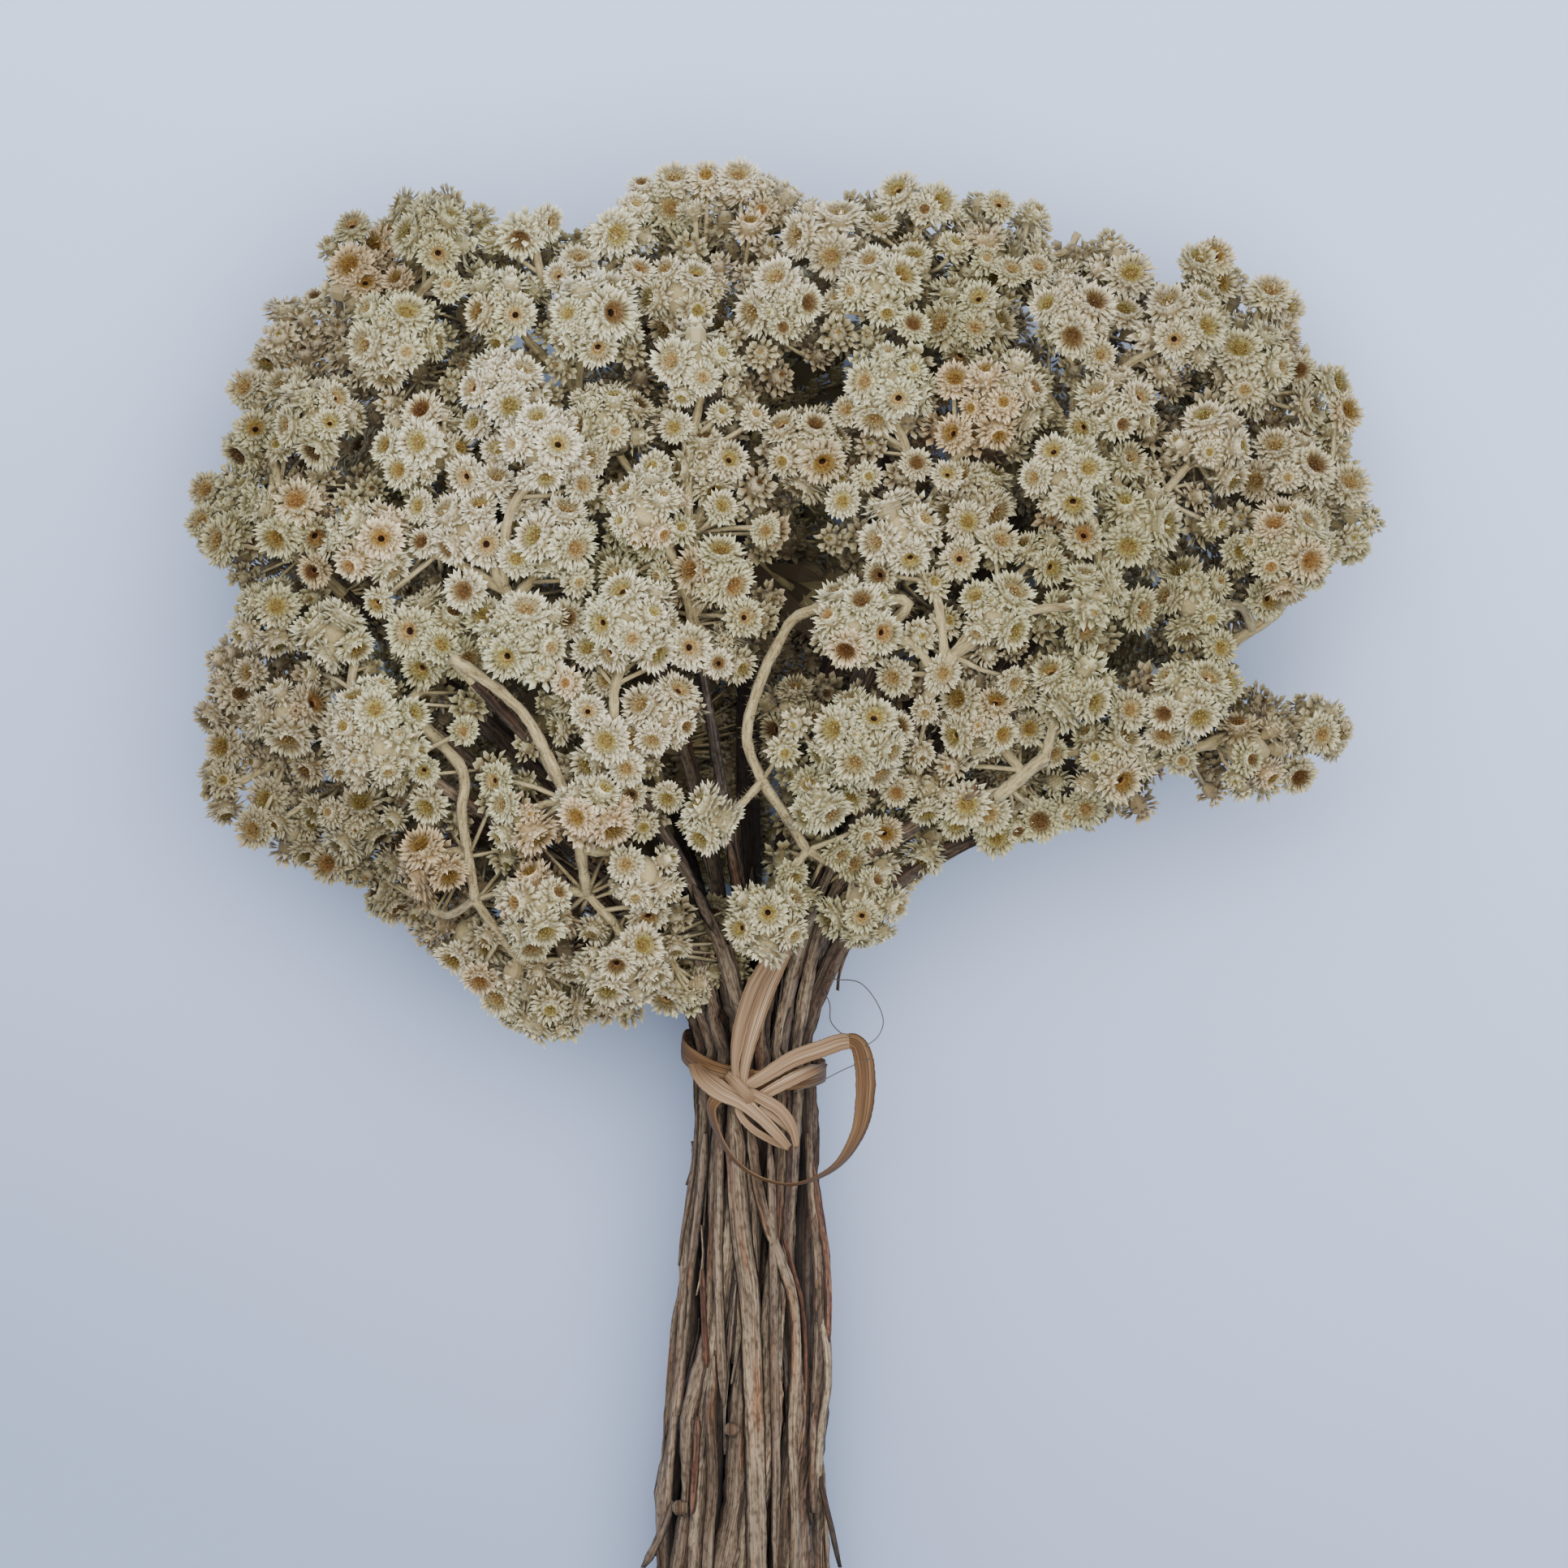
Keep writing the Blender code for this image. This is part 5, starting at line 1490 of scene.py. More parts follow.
def stem_light(path, rings):
    """Painted shade on a stem: how light each point is, least on the side that faces into the bundle and
    deeper inside it.
    """
    run = path[:, 1]
    axis = np.array([bundle_axis(y) for y in run])
    out = (path - axis) * (1.0, 0.0, 1.0)
    depth = 1.0 - np.linalg.norm(out, axis=1) / np.interp(run, BUNDLE_Y, BUNDLE_RADIUS)
    out = unit_rows(out + (0.0, 0.0, 0.5))
    outward = ((rings - path[:, None]) * out[:, None]).sum(axis=2)
    light = outward - INNER_SHADE * np.clip(depth, 0.0, 1.0)[:, None]
    fanned = np.interp(run, *FANNED)[:, None]
    return light * (1.0 - fanned) + np.interp(run, *FAN_LIGHT)[:, None] * fanned


def add_peel(parts, draw, path, radii, number, half_width, most_lift):
    """Strip of bark or withered leaf that lies along a stem and lifts off at its ends."""
    across, up = carried_frames(path, STEM_SIDE)
    part = np.linspace(0.0, 1.0, len(path))
    turn = draw.uniform(0, math.tau) + part * draw.normal(0.0, PEEL_TURN)
    lift = most_lift * (draw.uniform() * part**4 + draw.uniform() * (1 - part) ** 4)
    away = across * np.cos(turn)[:, None] + up * np.sin(turn)[:, None]
    middle = path + away * (radii * PEEL_STAND + lift)[:, None]
    add_strip(parts, draw, middle, away, half_width, number, PEEL_PROFILE, PEEL_TAPER)


def numbered(tone):
    """The number of a strip that takes about this tone, from 0 to 1."""
    return TONE_NUMBERS[np.abs(TONE_NUMBERS * TONE_STEP % 1.0 - tone).argmin()]


def on_bundle(x, y):
    """Places on the upper side of the bundle, and the directions away from it there."""
    axis = np.array([bundle_axis(along) for along in y])
    over = np.interp(np.abs(y - BAND_MIDDLE_Y), *OVER_BUNDLE)
    radius = np.interp(y, BUNDLE_Y, BUNDLE_RADIUS) + over
    aside = np.clip(x - axis[:, 0], -ROUND_SIDE * radius, ROUND_SIDE * radius)
    rise = np.sqrt(radius**2 - aside**2)
    away = unit_rows(np.column_stack([aside, 0.0 * x, rise]))
    return np.column_stack([x, y, axis[:, 2] + rise]), away


def add_top_strips(parts, draw):
    """Strips of bark and stubs of twigs that stand out on top of the bundle."""
    for tone, half_width, places in BARK_STRIPS:
        add_bark_strip(parts, draw, tone, half_width, np.array(places, float))
    start = STEM_STRIDE * numbered(STUB_TONE) + STUB_RUN
    for x, y, radius in STUBS:
        centre = on_bundle(np.array([x]), np.array([y]))[0][0]
        points, faces = lumpy_ball(draw, centre, radius)
        shade = (points - centre) * (1.0, 0.0, 1.0) + (0.0, STUB_LIGHT, start)
        parts.add(points, faces, shade)


def add_bark_strip(parts, draw, tone, half_width, places):
    """Strip along the top of the bundle, at places given as x and y."""
    middle, away = on_bundle(*smooth_path(places, STEM_STEP).T)
    profile = [(side, rise * max(THINNEST, half_width)) for side, rise in STRIP_PROFILE]
    add_strip(parts, draw, middle, away, half_width, numbered(tone), profile, STRIP_TAPER)


def add_strip(parts, draw, middle, away, half_width, number, profile, taper):
    """Thin strip along a path, hollow towards one side, that narrows to ragged ends."""
    beside = unit_rows(np.cross(unit_rows(np.gradient(middle, axis=0)), away))
    part = np.linspace(0.0, 1.0, len(middle))
    to_end = np.minimum(part + STRIP_TIP, 1.0 + STRIP_TIP - part)
    half = half_width * np.minimum(1.0, taper * to_end)
    half *= 1.0 + draw.normal(0.0, STRIP_UNEVEN, len(middle))
    rings = []
    for side, rise in profile:
        uneven = rise + draw.normal(0.0, STRIP_ROUGH, len(middle))
        rings.append(middle + beside * (half * side)[:, None] + away * uneven[:, None])
    points, faces = lofted(np.stack(rings, axis=1))
    x = np.array([side for side, _ in profile]) * half_width
    # Painted shade: the edges of a strip are darker than its face
    light = np.where(np.abs(x) < half_width, STRIP_LIGHT, EDGE_LIGHT)
    shade = lofted_shade(x, light, distances(middle) + STEM_STRIDE * number, STRIP_LIGHT)
    parts.add(pressed(points), faces, shade)


# A raffia strip's section: points across each side, thickness, how deep its grooves are and how far
# apart, how far it is cupped in the bow and in the band, and how uneven its edges are
RAFFIA_ACROSS = 9
RAFFIA_THICKNESS = 0.11
GROOVE = 0.010
GROOVE_WAVES = 13.0
BOW_CUP = -0.12
BAND_CUP = 0.10
RAFFIA_UNEVEN = 0.025


def leaf_strip(path, across, halves, width, cup, run):
    """Dried leaf strip along a path: cupped and grooved along its length, with thin edges.

    Its shading vector is the place across it, which side it is and the distance along it.
    """
    normal = np.cross(across, unit_rows(np.gradient(path, axis=0)))
    share = np.linspace(-1.0, 1.0, RAFFIA_ACROSS)
    groove = GROOVE * np.cos(share * GROOVE_WAVES) + cup * share**2
    thick = RAFFIA_THICKNESS * np.sqrt(np.maximum(1.0 - share**2, 0.3))
    middle = path[:, None] + across[:, None] * (halves[:, None] * share)[..., None]
    middle = middle + normal[:, None] * groove[None, :, None]
    upper = middle + normal[:, None] * thick[None, :, None]
    lower = middle - normal[:, None] * thick[None, :, None]
    points, faces = lofted(np.concatenate([upper, lower[:, ::-1]], axis=1))
    x = np.concatenate([share, share[::-1]]) * width / 2
    side = np.repeat((1.0, -1.0), RAFFIA_ACROSS)
    return points, faces, lofted_shade(x, side, run)


def ribbon(path, side_angles, widths, draw):
    """Raffia strip with uneven edges, whose width stands upright at an angle of 0 and lies flat at 90."""
    along = unit_rows(np.gradient(path, axis=0))
    level = unit_rows(np.cross(along, (0.0, 0.0, 1.0)))
    upright = np.cross(level, along)
    angle = np.radians(side_angles)[:, None]
    across = upright * np.cos(angle) + level * np.sin(angle)
    halves = widths / 2 * (1.0 + draw.normal(0.0, RAFFIA_UNEVEN, len(path)))
    return leaf_strip(path, across, halves, widths.max(), BOW_CUP, distances(path))


# Raffia band: where it lies along Y, how far it leans at angles round the bundle, over how many
# stations to each side that is smoothed, how far it stands off the bundle, and its uneven waves
BAND_MIDDLE_Y = 2.5
BAND_STATIONS = 110
BAND_RISE = (
    (0, -0.2), (45, -1.6), (90, -1.8), (135, 0), (180, 4.6), (225, 4.4), (270, 2), (315, 0.2),
    (360, -0.2),
)
BAND_SMOOTH = 6
BAND_STAND = 1.5
BAND_WAVES = ((0.25, 5, 0.0), (0.15, 9, 1.0))

# Raffia bow: places as x, y, z, the turn of the strip about its own length (90 lies flat) and its
# share of the full width
RAFFIA_STEP = 0.6
RAFFIA_STRIDE = 90.0
RAFFIA_STRIPS = {
    "loop": ((-4, -0.8, 42.6, 90, 0.5), (-0.6, 1, 43.2, 94, 0.62), (4.6, 4.2, 43.6, 92, 0.78),
        (9.4, 6, 43.8, 84, 0.84), (13, 7.2, 43.9, 62, 0.86), (15.3, 6.7, 43.6, 58, 0.95),
        (16.4, 3.4, 43.2, 70, 1), (16.5, -2, 42.9, 66, 1), (15.3, -7.8, 42.4, 46, 0.94),
        (11.6, -13.2, 42, 22, 0.92), (5.2, -16, 41.8, 10, 0.9), (-0.6, -14.9, 42, 10, 0.9),
        (-4.6, -12.1, 42.2, 14, 0.9), (-7.2, -8, 42.3, 18, 0.9), (-8.4, -3.6, 42.3, 34, 0.8),
        (-6.6, -0.8, 42.4, 80, 0.7)),
    "upper_strip": ((-4, -0.6, 43.2, 84, 0.3), (-4.5, 3, 44, 80, 0.38), (-4.1, 7, 44.7, 78, 0.62),
        (-3.2, 11, 45.4, 76, 0.74), (-1.5, 16, 45.9, 76, 0.74), (1, 20.5, 45.4, 74, 0.68),
        (2.6, 24, 44.2, 74, 0.66)),
    "inner_strip": ((-3.2, -0.4, 42.9, 92, 0.36), (-2.9, 3, 43.3, 96, 0.46), (-2, 7, 43.8, 98, 0.6),
        (-0.8, 11, 44.6, 100, 0.7), (1, 16, 45.2, 100, 0.74), (3.1, 20.5, 44.8, 100, 0.68),
        (4.4, 24, 43.6, 100, 0.66)),
    "over_strip": ((-10.9, 3.4, 36.6, 52, 0.8), (-9.6, 1.4, 40.2, 66, 0.95), (-6.8, -0.8, 42.8, 86, 0.95),
        (-3.4, -2.6, 43.9, 92, 0.72), (-0.4, -5.1, 43.9, 92, 0.56), (2.2, -7.7, 43.5, 92, 0.5),
        (4.2, -10, 42.6, 84, 0.36)),
    "long_ear": ((4.2, -10.1, 42.5, 60, 0.3), (1.6, -9, 42.4, 66, 0.36), (-1.8, -6.9, 42.4, 76, 0.36),
        (-3.8, -4.4, 42.5, 96, 0.34), (-3.6, -2.2, 43.1, 100, 0.42)),
    "short_ear": ((-2.6, -0.8, 43.4, 92, 0.42), (0, -2.1, 44.4, 92, 0.56), (2.8, -3.9, 44.4, 90, 0.58),
        (4.7, -6.6, 43.9, 86, 0.48), (5.5, -9.8, 42.7, 80, 0.3)),
    "short_ear_back": ((5.5, -9.6, 42.7, 74, 0.3), (4.6, -7.4, 43, 72, 0.34), (2.2, -5.4, 43.2, 76, 0.34),
        (-0.6, -3.4, 43.2, 84, 0.34)),
    "cross_strip": ((-1.4, -2.4, 43.4, 92, 0.5), (1.6, -0.6, 43.5, 92, 0.56), (5, 1.2, 42.4, 86, 0.62),
        (7.8, 2.5, 40, 66, 0.62), (9.2, 3, 36.8, 40, 0.55), (9.7, 3.2, 33, 14, 0.45)),
    "wrap": ((-5.8, 2, 42.2, 90, 0.5), (-4.4, 0.6, 44.4, 90, 0.56), (-2.6, -1.4, 44.9, 90, 0.52),
        (-1.2, -3.4, 43.2, 90, 0.42)),
}
TURNED_STRIP = "loop"

# Stray fibres: step, radius, sides and which way is their side, and the distance from which on the
# finish colours them
FIBRE_STEP = 0.8
FIBRE_RADIUS = 0.10
FIBRE_SIDES = 5
FIBRE_SIDE = np.array([0.0, 0.2, 1.0])
FIBRE_RUN = 2000.0
FIBRE_STRIDE = 40.0
FIBRES = (
    ((9.6, 17.4, 36), (12, 17, 38), (15.5, 16.6, 40), (18, 14, 41), (19.4, 10.6, 42), (18.6, 8, 43),
        (16.6, 6.4, 43.4)),
    ((9.6, 15.6, 35), (10.8, 13, 37), (10.9, 10.4, 39), (12.4, 8.6, 42), (14, 8, 43.8)),
    ((5, -1, 43), (9, 0.6, 43.4), (13, 2.6, 43.6), (17.2, 4.4, 43.4)),
)


def add_band(width, finish):
    """One turn of raffia round the bundle, leaning down to the knot."""
    x, _, z = bundle_axis(BAND_MIDDLE_Y)
    radius = np.interp(BAND_MIDDLE_Y, BUNDLE_Y, BUNDLE_RADIUS) + BAND_STAND
    angle = np.linspace(0.5 * math.pi, 2.5 * math.pi, BAND_STATIONS)
    rise = np.interp(np.degrees(angle) % 360, *zip(*BAND_RISE))
    window = np.ones(2 * BAND_SMOOTH + 1) / (2 * BAND_SMOOTH + 1)
    rise = np.convolve(np.pad(rise, BAND_SMOOTH, mode="edge"), window, mode="valid")
    wobble = sum(size * np.sin(waves * angle + phase) for size, waves, phase in BAND_WAVES)
    path = np.column_stack([x + (radius + wobble) * np.cos(angle), BAND_MIDDLE_Y + rise,
                            z + (radius + wobble) * np.sin(angle)])
    out = unit_rows(np.column_stack([np.cos(angle), 0 * angle, np.sin(angle)]))
    across = unit_rows(np.cross(out, unit_rows(np.gradient(path, axis=0))))
    run = np.linspace(0.0, math.tau * radius, len(path))
    parts = Parts()
    parts.add(*leaf_strip(path, across, np.full(len(path), width / 2), width, BAND_CUP, run))
    return parts.make("raffia_wrap", ["raffia_band"], [finish])


def add_bow(width, finish):
    """Loop, strips and tails of the raffia bow, from the knot out."""
    parts = Parts()
    for number, (name, route) in enumerate(RAFFIA_STRIPS.items()):
        draw = np.random.default_rng([SEED, 600 + number])
        path = smooth_path(np.array(route, float), RAFFIA_STEP)
        path, turn, widths = path[:, :3], path[:, 3], path[:, 4] * width
        points, faces, shade = ribbon(path, turn, widths, draw)
        if name == TURNED_STRIP:
            station = np.arange(len(points)) // (2 * RAFFIA_ACROSS)
            shade[station > path[:, 1].argmax(), 1] = -1.0
        shade[:, 2] += RAFFIA_STRIDE * number
        parts.add(points, faces, shade)
    for number, route in enumerate(FIBRES):
        path = smooth_path(route, FIBRE_STEP)
        radii = np.full(len(path), FIBRE_RADIUS)
        points, faces, shade = bar(path, radii, FIBRE_SIDE, FIBRE_SIDES)
        parts.add(points, faces, shade + (0.0, 0.0, FIBRE_RUN + FIBRE_STRIDE * number))
    return parts.make("raffia_knot_and_loop", ["raffia_bow"], [finish])


class Finish:
    """A material under construction, with short ways to add the nodes it needs."""

    def __init__(self, name, roughness, **sockets):
        self.material = bpy.data.materials.new(name)
        self.material.use_nodes = True
        self.tree = self.material.node_tree
        self.shader = self.tree.nodes["Principled BSDF"]
        self.shader.inputs["Roughness"].default_value = roughness
        for socket, value in sockets.items():
            self.shader.inputs[socket.replace("_", " ")].default_value = value

    def node(self, kind, inputs=(), **settings):
        """Adds a node, sets it up and joins or sets its inputs in order."""
        node = self.tree.nodes.new(kind)
        for setting, value in settings.items():
            setattr(node, setting, value)
        for socket, value in dict(inputs).items():
            if isinstance(value, bpy.types.NodeSocket):
                self.tree.links.new(value, node.inputs[socket])
            else:
                node.inputs[socket].default_value = value
        return node

    def shade(self):
        """The mesh's shading vector, whole and as three separate numbers."""
        vector = self.node("ShaderNodeAttribute", attribute_name="shade").outputs["Vector"]
        parts = self.node("ShaderNodeSeparateXYZ", {"Vector": vector}).outputs
        return vector, parts["X"], parts["Y"], parts["Z"]

    def math(self, operation, a, b=0.0, clamp=False):
        """One number from two."""
        return self.node("ShaderNodeMath", {0: a, 1: b}, operation=operation, use_clamp=clamp).outputs[0]

    def noise(self, vector, scale, detail=3.0, stretch=(1.0, 1.0, 1.0)):
        """Noise from 0 to 1 over a vector, which is scaled and stretched first."""
        factors = tuple(scale * part for part in stretch)
        scaled = self.node("ShaderNodeVectorMath", {0: vector, 1: factors}, operation="MULTIPLY")
        inputs = {"Vector": scaled.outputs[0], "Scale": 1.0, "Detail": detail}
        return self.node("ShaderNodeTexNoise", inputs).outputs["Fac"]

    def place(self):
        """Place on the object, in metres."""
        return self.node("ShaderNodeTexCoord").outputs["Object"]

    def ramp(self, factor, stops):
        """Colours at stops along a number."""
        node = self.node("ShaderNodeValToRGB", {"Fac": factor})
        while len(node.color_ramp.elements) < len(stops):
            node.color_ramp.elements.new(0.5)
        for element, (position, colour) in zip(node.color_ramp.elements, stops):
            element.position = position
            element.color = (*colour, 1.0)
        return node.outputs["Color"]

    def mask(self, factor, low, high):
        """Black up to one number and white from another on."""
        return self.ramp(factor, ((low, (0, 0, 0)), (high, (1, 1, 1))))

    def mix(self, factor, a, b, blend="MIX"):
        """One colour from two."""
        a, b = ((*value, 1.0) if isinstance(value, tuple) else value for value in (a, b))
        inputs = {0: factor, 6: a, 7: b}
        return self.node("ShaderNodeMix", inputs, data_type="RGBA", blend_type=blend).outputs[2]

    def tinted(self, colour, tint, share=1.0):
        """A colour times another one, for a share of it."""
        return self.mix(share, colour, tint, "MULTIPLY")

    def wear(self, colour, height, strength, distance):
        """Finishes the material with its colour and a relief."""
        self.tree.links.new(colour, self.shader.inputs["Base Color"])
        bump = self.node("ShaderNodeBump", {"Height": height, "Strength": strength, "Distance": distance})
        self.tree.links.new(bump.outputs["Normal"], self.shader.inputs["Normal"])
        return self.material


# Painted shade: the colour that white takes from the deepest, most shaded heads to the outermost, and how
# fine grain is
PAINTED_SHADE_RAMP = (
    (0.0, (0.0, 0.0, 0.0)), (0.42, (0.34, 0.29, 0.22)), (0.72, (0.66, 0.62, 0.52)), (1.0, (1.0, 1.0, 1.0)),
)
GRAIN = 2600.0


def bract_finish(settings):
    """Papery cream bracts: tan at the foot, partly their own colour and partly painted shade where they
    overlap, whitest at the tip, some heads greyer or peachier, with painted shade from the light number.
    """
    made = Finish("papery_bract", 0.72, Sheen_Weight=0.15, Sheen_Roughness=0.5)
    _, along, tone, light = made.shade()
    # Dark foot of a bract: partly its own tan and partly painted shade where the bracts overlap
    colour = made.ramp(along, ((0.0, (0.17, 0.11, 0.05)), (0.45, (0.42, 0.34, 0.19)),
                               (0.78, (0.82, 0.77, 0.60)), (1.0, tuple(settings.bract_colour))))
    greyer = made.tinted(colour, (0.83, 0.88, 0.76))
    peach = made.tinted(colour, (0.98, 0.84, 0.73))
    patch = made.noise(made.place(), 30.0, 2.0)
    colour = made.mix(made.mask(patch, 0.40, 0.60), greyer, colour)
    colour = made.mix(made.mask(tone, 0.72, 1.0), colour, peach)
    # Painted shade from the light number: darker deep in the crown, towards its rim and away from its
    # brightest place
    colour = made.tinted(colour, made.ramp(light, PAINTED_SHADE_RAMP))
    return made.wear(colour, made.noise(made.place(), GRAIN, 3.0), 0.25, 0.0002)


def disc_finish(settings):
    """Ochre dish of florets, browner towards a dark hole at its centre, with painted shade from its light
    number.
    """
    made = Finish("floret_dish", 0.85, Specular_IOR_Level=0.15)
    _, away, tone, light = made.shade()
    stops = ((0.0, (0.030, 0.014, 0.007)), (0.22, (0.070, 0.032, 0.015)), (0.32, (0.50, 0.35, 0.20)),
             (0.46, (0.28, 0.19, 0.085)), (0.70, tuple(settings.disc_colour)), (1.0, (0.64, 0.59, 0.42)))
    colour = made.ramp(away, stops)
    rust = made.tinted(colour, (0.80, 0.62, 0.50))
    colour = made.mix(made.mask(tone, 0.6, 0.8), colour, rust)
    olive = made.tinted(colour, (0.86, 0.92, 0.70))
    chance = made.math("FRACT", made.math("MULTIPLY", tone, 7.3))
    colour = made.mix(made.math("LESS_THAN", chance, 0.4), colour, olive)
    withered = made.tinted(colour, (0.42, 0.34, 0.30))
    colour = made.mix(made.math("GREATER_THAN", chance, 0.9), colour, withered)
    # Painted shade from the light number, as on the bracts
    colour = made.tinted(colour, made.ramp(light, PAINTED_SHADE_RAMP))
    grain = made.noise(made.place(), GRAIN, 2.0)
    speckles = made.ramp(grain, ((0.35, (0.55, 0.5, 0.45)), (0.62, (1.25, 1.2, 1.1))))
    return made.wear(made.tinted(colour, speckles), grain, 0.5, 0.0003)


def wool_finish(settings):
    """Felted pale stalk wool with browner streaks where it has rubbed off."""
    made = Finish("stalk_wool", 0.95, Sheen_Weight=0.15, Sheen_Roughness=0.6)
    vector, *_ = made.shade()
    streak = made.noise(vector, 1.0, 4.0, (2.2, 2.2, 0.35))
    pale = tuple(settings.wool_colour)
    colour = made.ramp(streak, ((0.30, (0.17, 0.115, 0.052)), (0.48, pale), (0.72, (0.50, 0.41, 0.215))))
    felt = made.noise(made.place(), 1800.0, 4.0)
    return made.wear(colour, felt, 0.6, 0.0006)


def bark_finish(settings):
    """Dry fibrous bark: each stem or strip tan, grey, brown or rusty, with dark streaks along it, and
    painted shade from its light number.
    """
    made = Finish("stem_bark", 0.88)
    vector, _, light, run = made.shade()
    number = made.math("FLOOR", made.math("DIVIDE", run, STEM_STRIDE))
    pick = made.math("FRACT", made.math("MULTIPLY", number, TONE_STEP))
    bark = tuple(settings.bark_colour)
    colour = made.ramp(pick, (
        (0.0, (0.045, 0.030, 0.022)), (0.14, (0.12, 0.083, 0.062)), (0.34, bark),
        (0.52, (0.255, 0.190, 0.130)), (0.70, (0.36, 0.285, 0.195)), (0.82, (0.29, 0.25, 0.215)),
        (0.90, (0.17, 0.075, 0.040)), (1.0, (0.14, 0.09, 0.065)),
    ))
    broad = made.noise(vector, 1.0, 3.0, (0.55, 0.55, 0.03))
    worn = made.ramp(broad, ((0.34, (0.38, 0.32, 0.28)), (0.50, (1, 1, 1)), (0.68, (1.55, 1.5, 1.42))))
    colour = made.tinted(colour, worn, 0.85)
    fine = made.noise(vector, 1.0, 5.0, (3.2, 3.2, 0.12))
    streaks = made.ramp(fine, ((0.34, (0.24, 0.19, 0.16)), (0.54, (1, 1, 1))))
    colour = made.tinted(colour, streaks, 0.85)
    crumbs = made.noise(vector, 1.0, 4.0, (1.6, 1.6, 0.75))
    crumbled = made.ramp(crumbs, ((0.36, (0.34, 0.29, 0.25)), (0.52, (1, 1, 1))))
    colour = made.tinted(colour, crumbled, 0.75)
    rust = made.noise(vector, 1.0, 3.0, (0.8, 0.8, 0.05))
    rusty = made.tinted(colour, (0.86, 0.60, 0.48))
    colour = made.mix(made.mask(rust, 0.54, 0.64), colour, rusty)
    # Painted shade: darkest where a stem faces into the bundle or lies deep in it, and along the edges of
    # strips
    level = made.math("ADD", made.math("MULTIPLY", light, 0.4), 0.3, clamp=True)
    bark_shade = made.ramp(level, ((0.0, (0.06, 0.05, 0.045)), (0.41, (0.23, 0.195, 0.18)), (0.82, (1, 1, 1))))
    relief = made.math("ADD", fine, made.math("MULTIPLY", crumbs, 0.8))
    return made.wear(made.tinted(colour, bark_shade), relief, 0.9, 0.0014)


def raffia_finish(settings):
    """Satin leaf strip with fine paler and darker fibres along it, and dark stray fibres."""
    made = Finish("raffia_strip", 0.55, Specular_IOR_Level=0.18)
    vector, _, side, run = made.shade()
    fibre = made.noise(vector, 1.0, 4.0, (8.0, 0.4, 0.045))
    patch = made.noise(vector, 1.0, 2.0, (0.9, 0.5, 0.06))
    colour = made.ramp(fibre, ((0.28, (0.11, 0.062, 0.033)), (0.46, tuple(settings.raffia_colour)),
                               (0.62, (0.36, 0.25, 0.158)), (0.78, (0.56, 0.46, 0.35))))
    patches = made.ramp(patch, ((0.36, (0.56, 0.48, 0.42)), (0.56, (1, 1, 1))))
    colour = made.tinted(colour, patches, 0.7)
    inner = made.tinted(colour, (0.53, 0.45, 0.34))
    colour = made.mix(made.math("LESS_THAN", side, 0.0), colour, inner)
    stray = made.math("GREATER_THAN", run, FIBRE_RUN - 1.0)
    colour = made.mix(stray, colour, (0.10, 0.085, 0.07))
    return made.wear(colour, fibre, 0.5, 0.0003)


# Painted shade of the light falling off towards the lower left corner of the surface: share for each metre
# in X and Y, at the middle, and at most
FALLOFF_SLOPE = (-1.2, -3.0)
FALLOFF_MIDDLE = 0.31
FALLOFF_MOST = 0.72


def paper_finish(settings):
    """Plain pale blue-grey surface with the faintest mottling, and painted shade that darkens it towards
    the lower left corner.
    """
    made = Finish("pale_surface", 0.7)
    cloud = made.noise(made.place(), 9.0, 3.0)
    pale = np.array(settings.floor_colour)
    colour = made.ramp(cloud, ((0.3, tuple(pale * 0.97)), (0.7, tuple(pale))))
    spot = made.node("ShaderNodeSeparateXYZ", {"Vector": made.place()}).outputs
    # Painted shade: darker towards the lower left corner, as the light falls off
    x, y = (made.math("MULTIPLY", spot[axis], share) for axis, share in zip("XY", FALLOFF_SLOPE))
    corner = made.math("ADD", made.math("ADD", x, y), FALLOFF_MIDDLE, clamp=True)
    shaded_floor = made.tinted(colour, (0.30, 0.325, 0.36))
    colour = made.mix(made.math("MINIMUM", corner, FALLOFF_MOST), colour, shaded_floor)
    return made.wear(colour, made.noise(made.place(), 700.0, 2.0), 0.1, 0.0002)


def colour_setting(name, description, default):
    """A colour that can be set in the panel."""
    return FloatVectorProperty(
        name=name, description=description, default=default, min=0.0, max=1.0, subtype="COLOR")


class FlowerSettings(bpy.types.PropertyGroup):
    """Sizes and colours of the flower heads and their stalks."""

    head_radius: FloatProperty(
        name="Head radius", description="Radius of an average flower head",
        default=0.0036, min=0.0015, max=0.006, unit="LENGTH", precision=4)
    head_uneven: FloatProperty(
        name="Unevenness", description="How much the heads differ in size",
        default=0.20, min=0.0, max=0.4, subtype="FACTOR")
    bract_colour: colour_setting("Bracts", "Colour of the papery bract tips", (0.99, 0.965, 0.82))
    disc_colour: colour_setting("Discs", "Colour of the florets in a head", (0.37, 0.305, 0.155))
    wool_colour: colour_setting("Stalk wool", "Colour of the felt on the stalks", (0.35, 0.28, 0.135))


class StemSettings(bpy.types.PropertyGroup):
    """Colour of the woody stems."""

    bark_colour: colour_setting("Bark", "Main colour of the dry bark", (0.19, 0.136, 0.096))


class RaffiaSettings(bpy.types.PropertyGroup):
    """Width and colour of the raffia tie."""

    strip_width: FloatProperty(
        name="Strip width", description="Width of the raffia strip",
        default=0.0034, min=0.001, max=0.01, unit="LENGTH", precision=4)
    raffia_colour: colour_setting("Raffia", "Main colour of the leaf strip", (0.24, 0.15, 0.085))


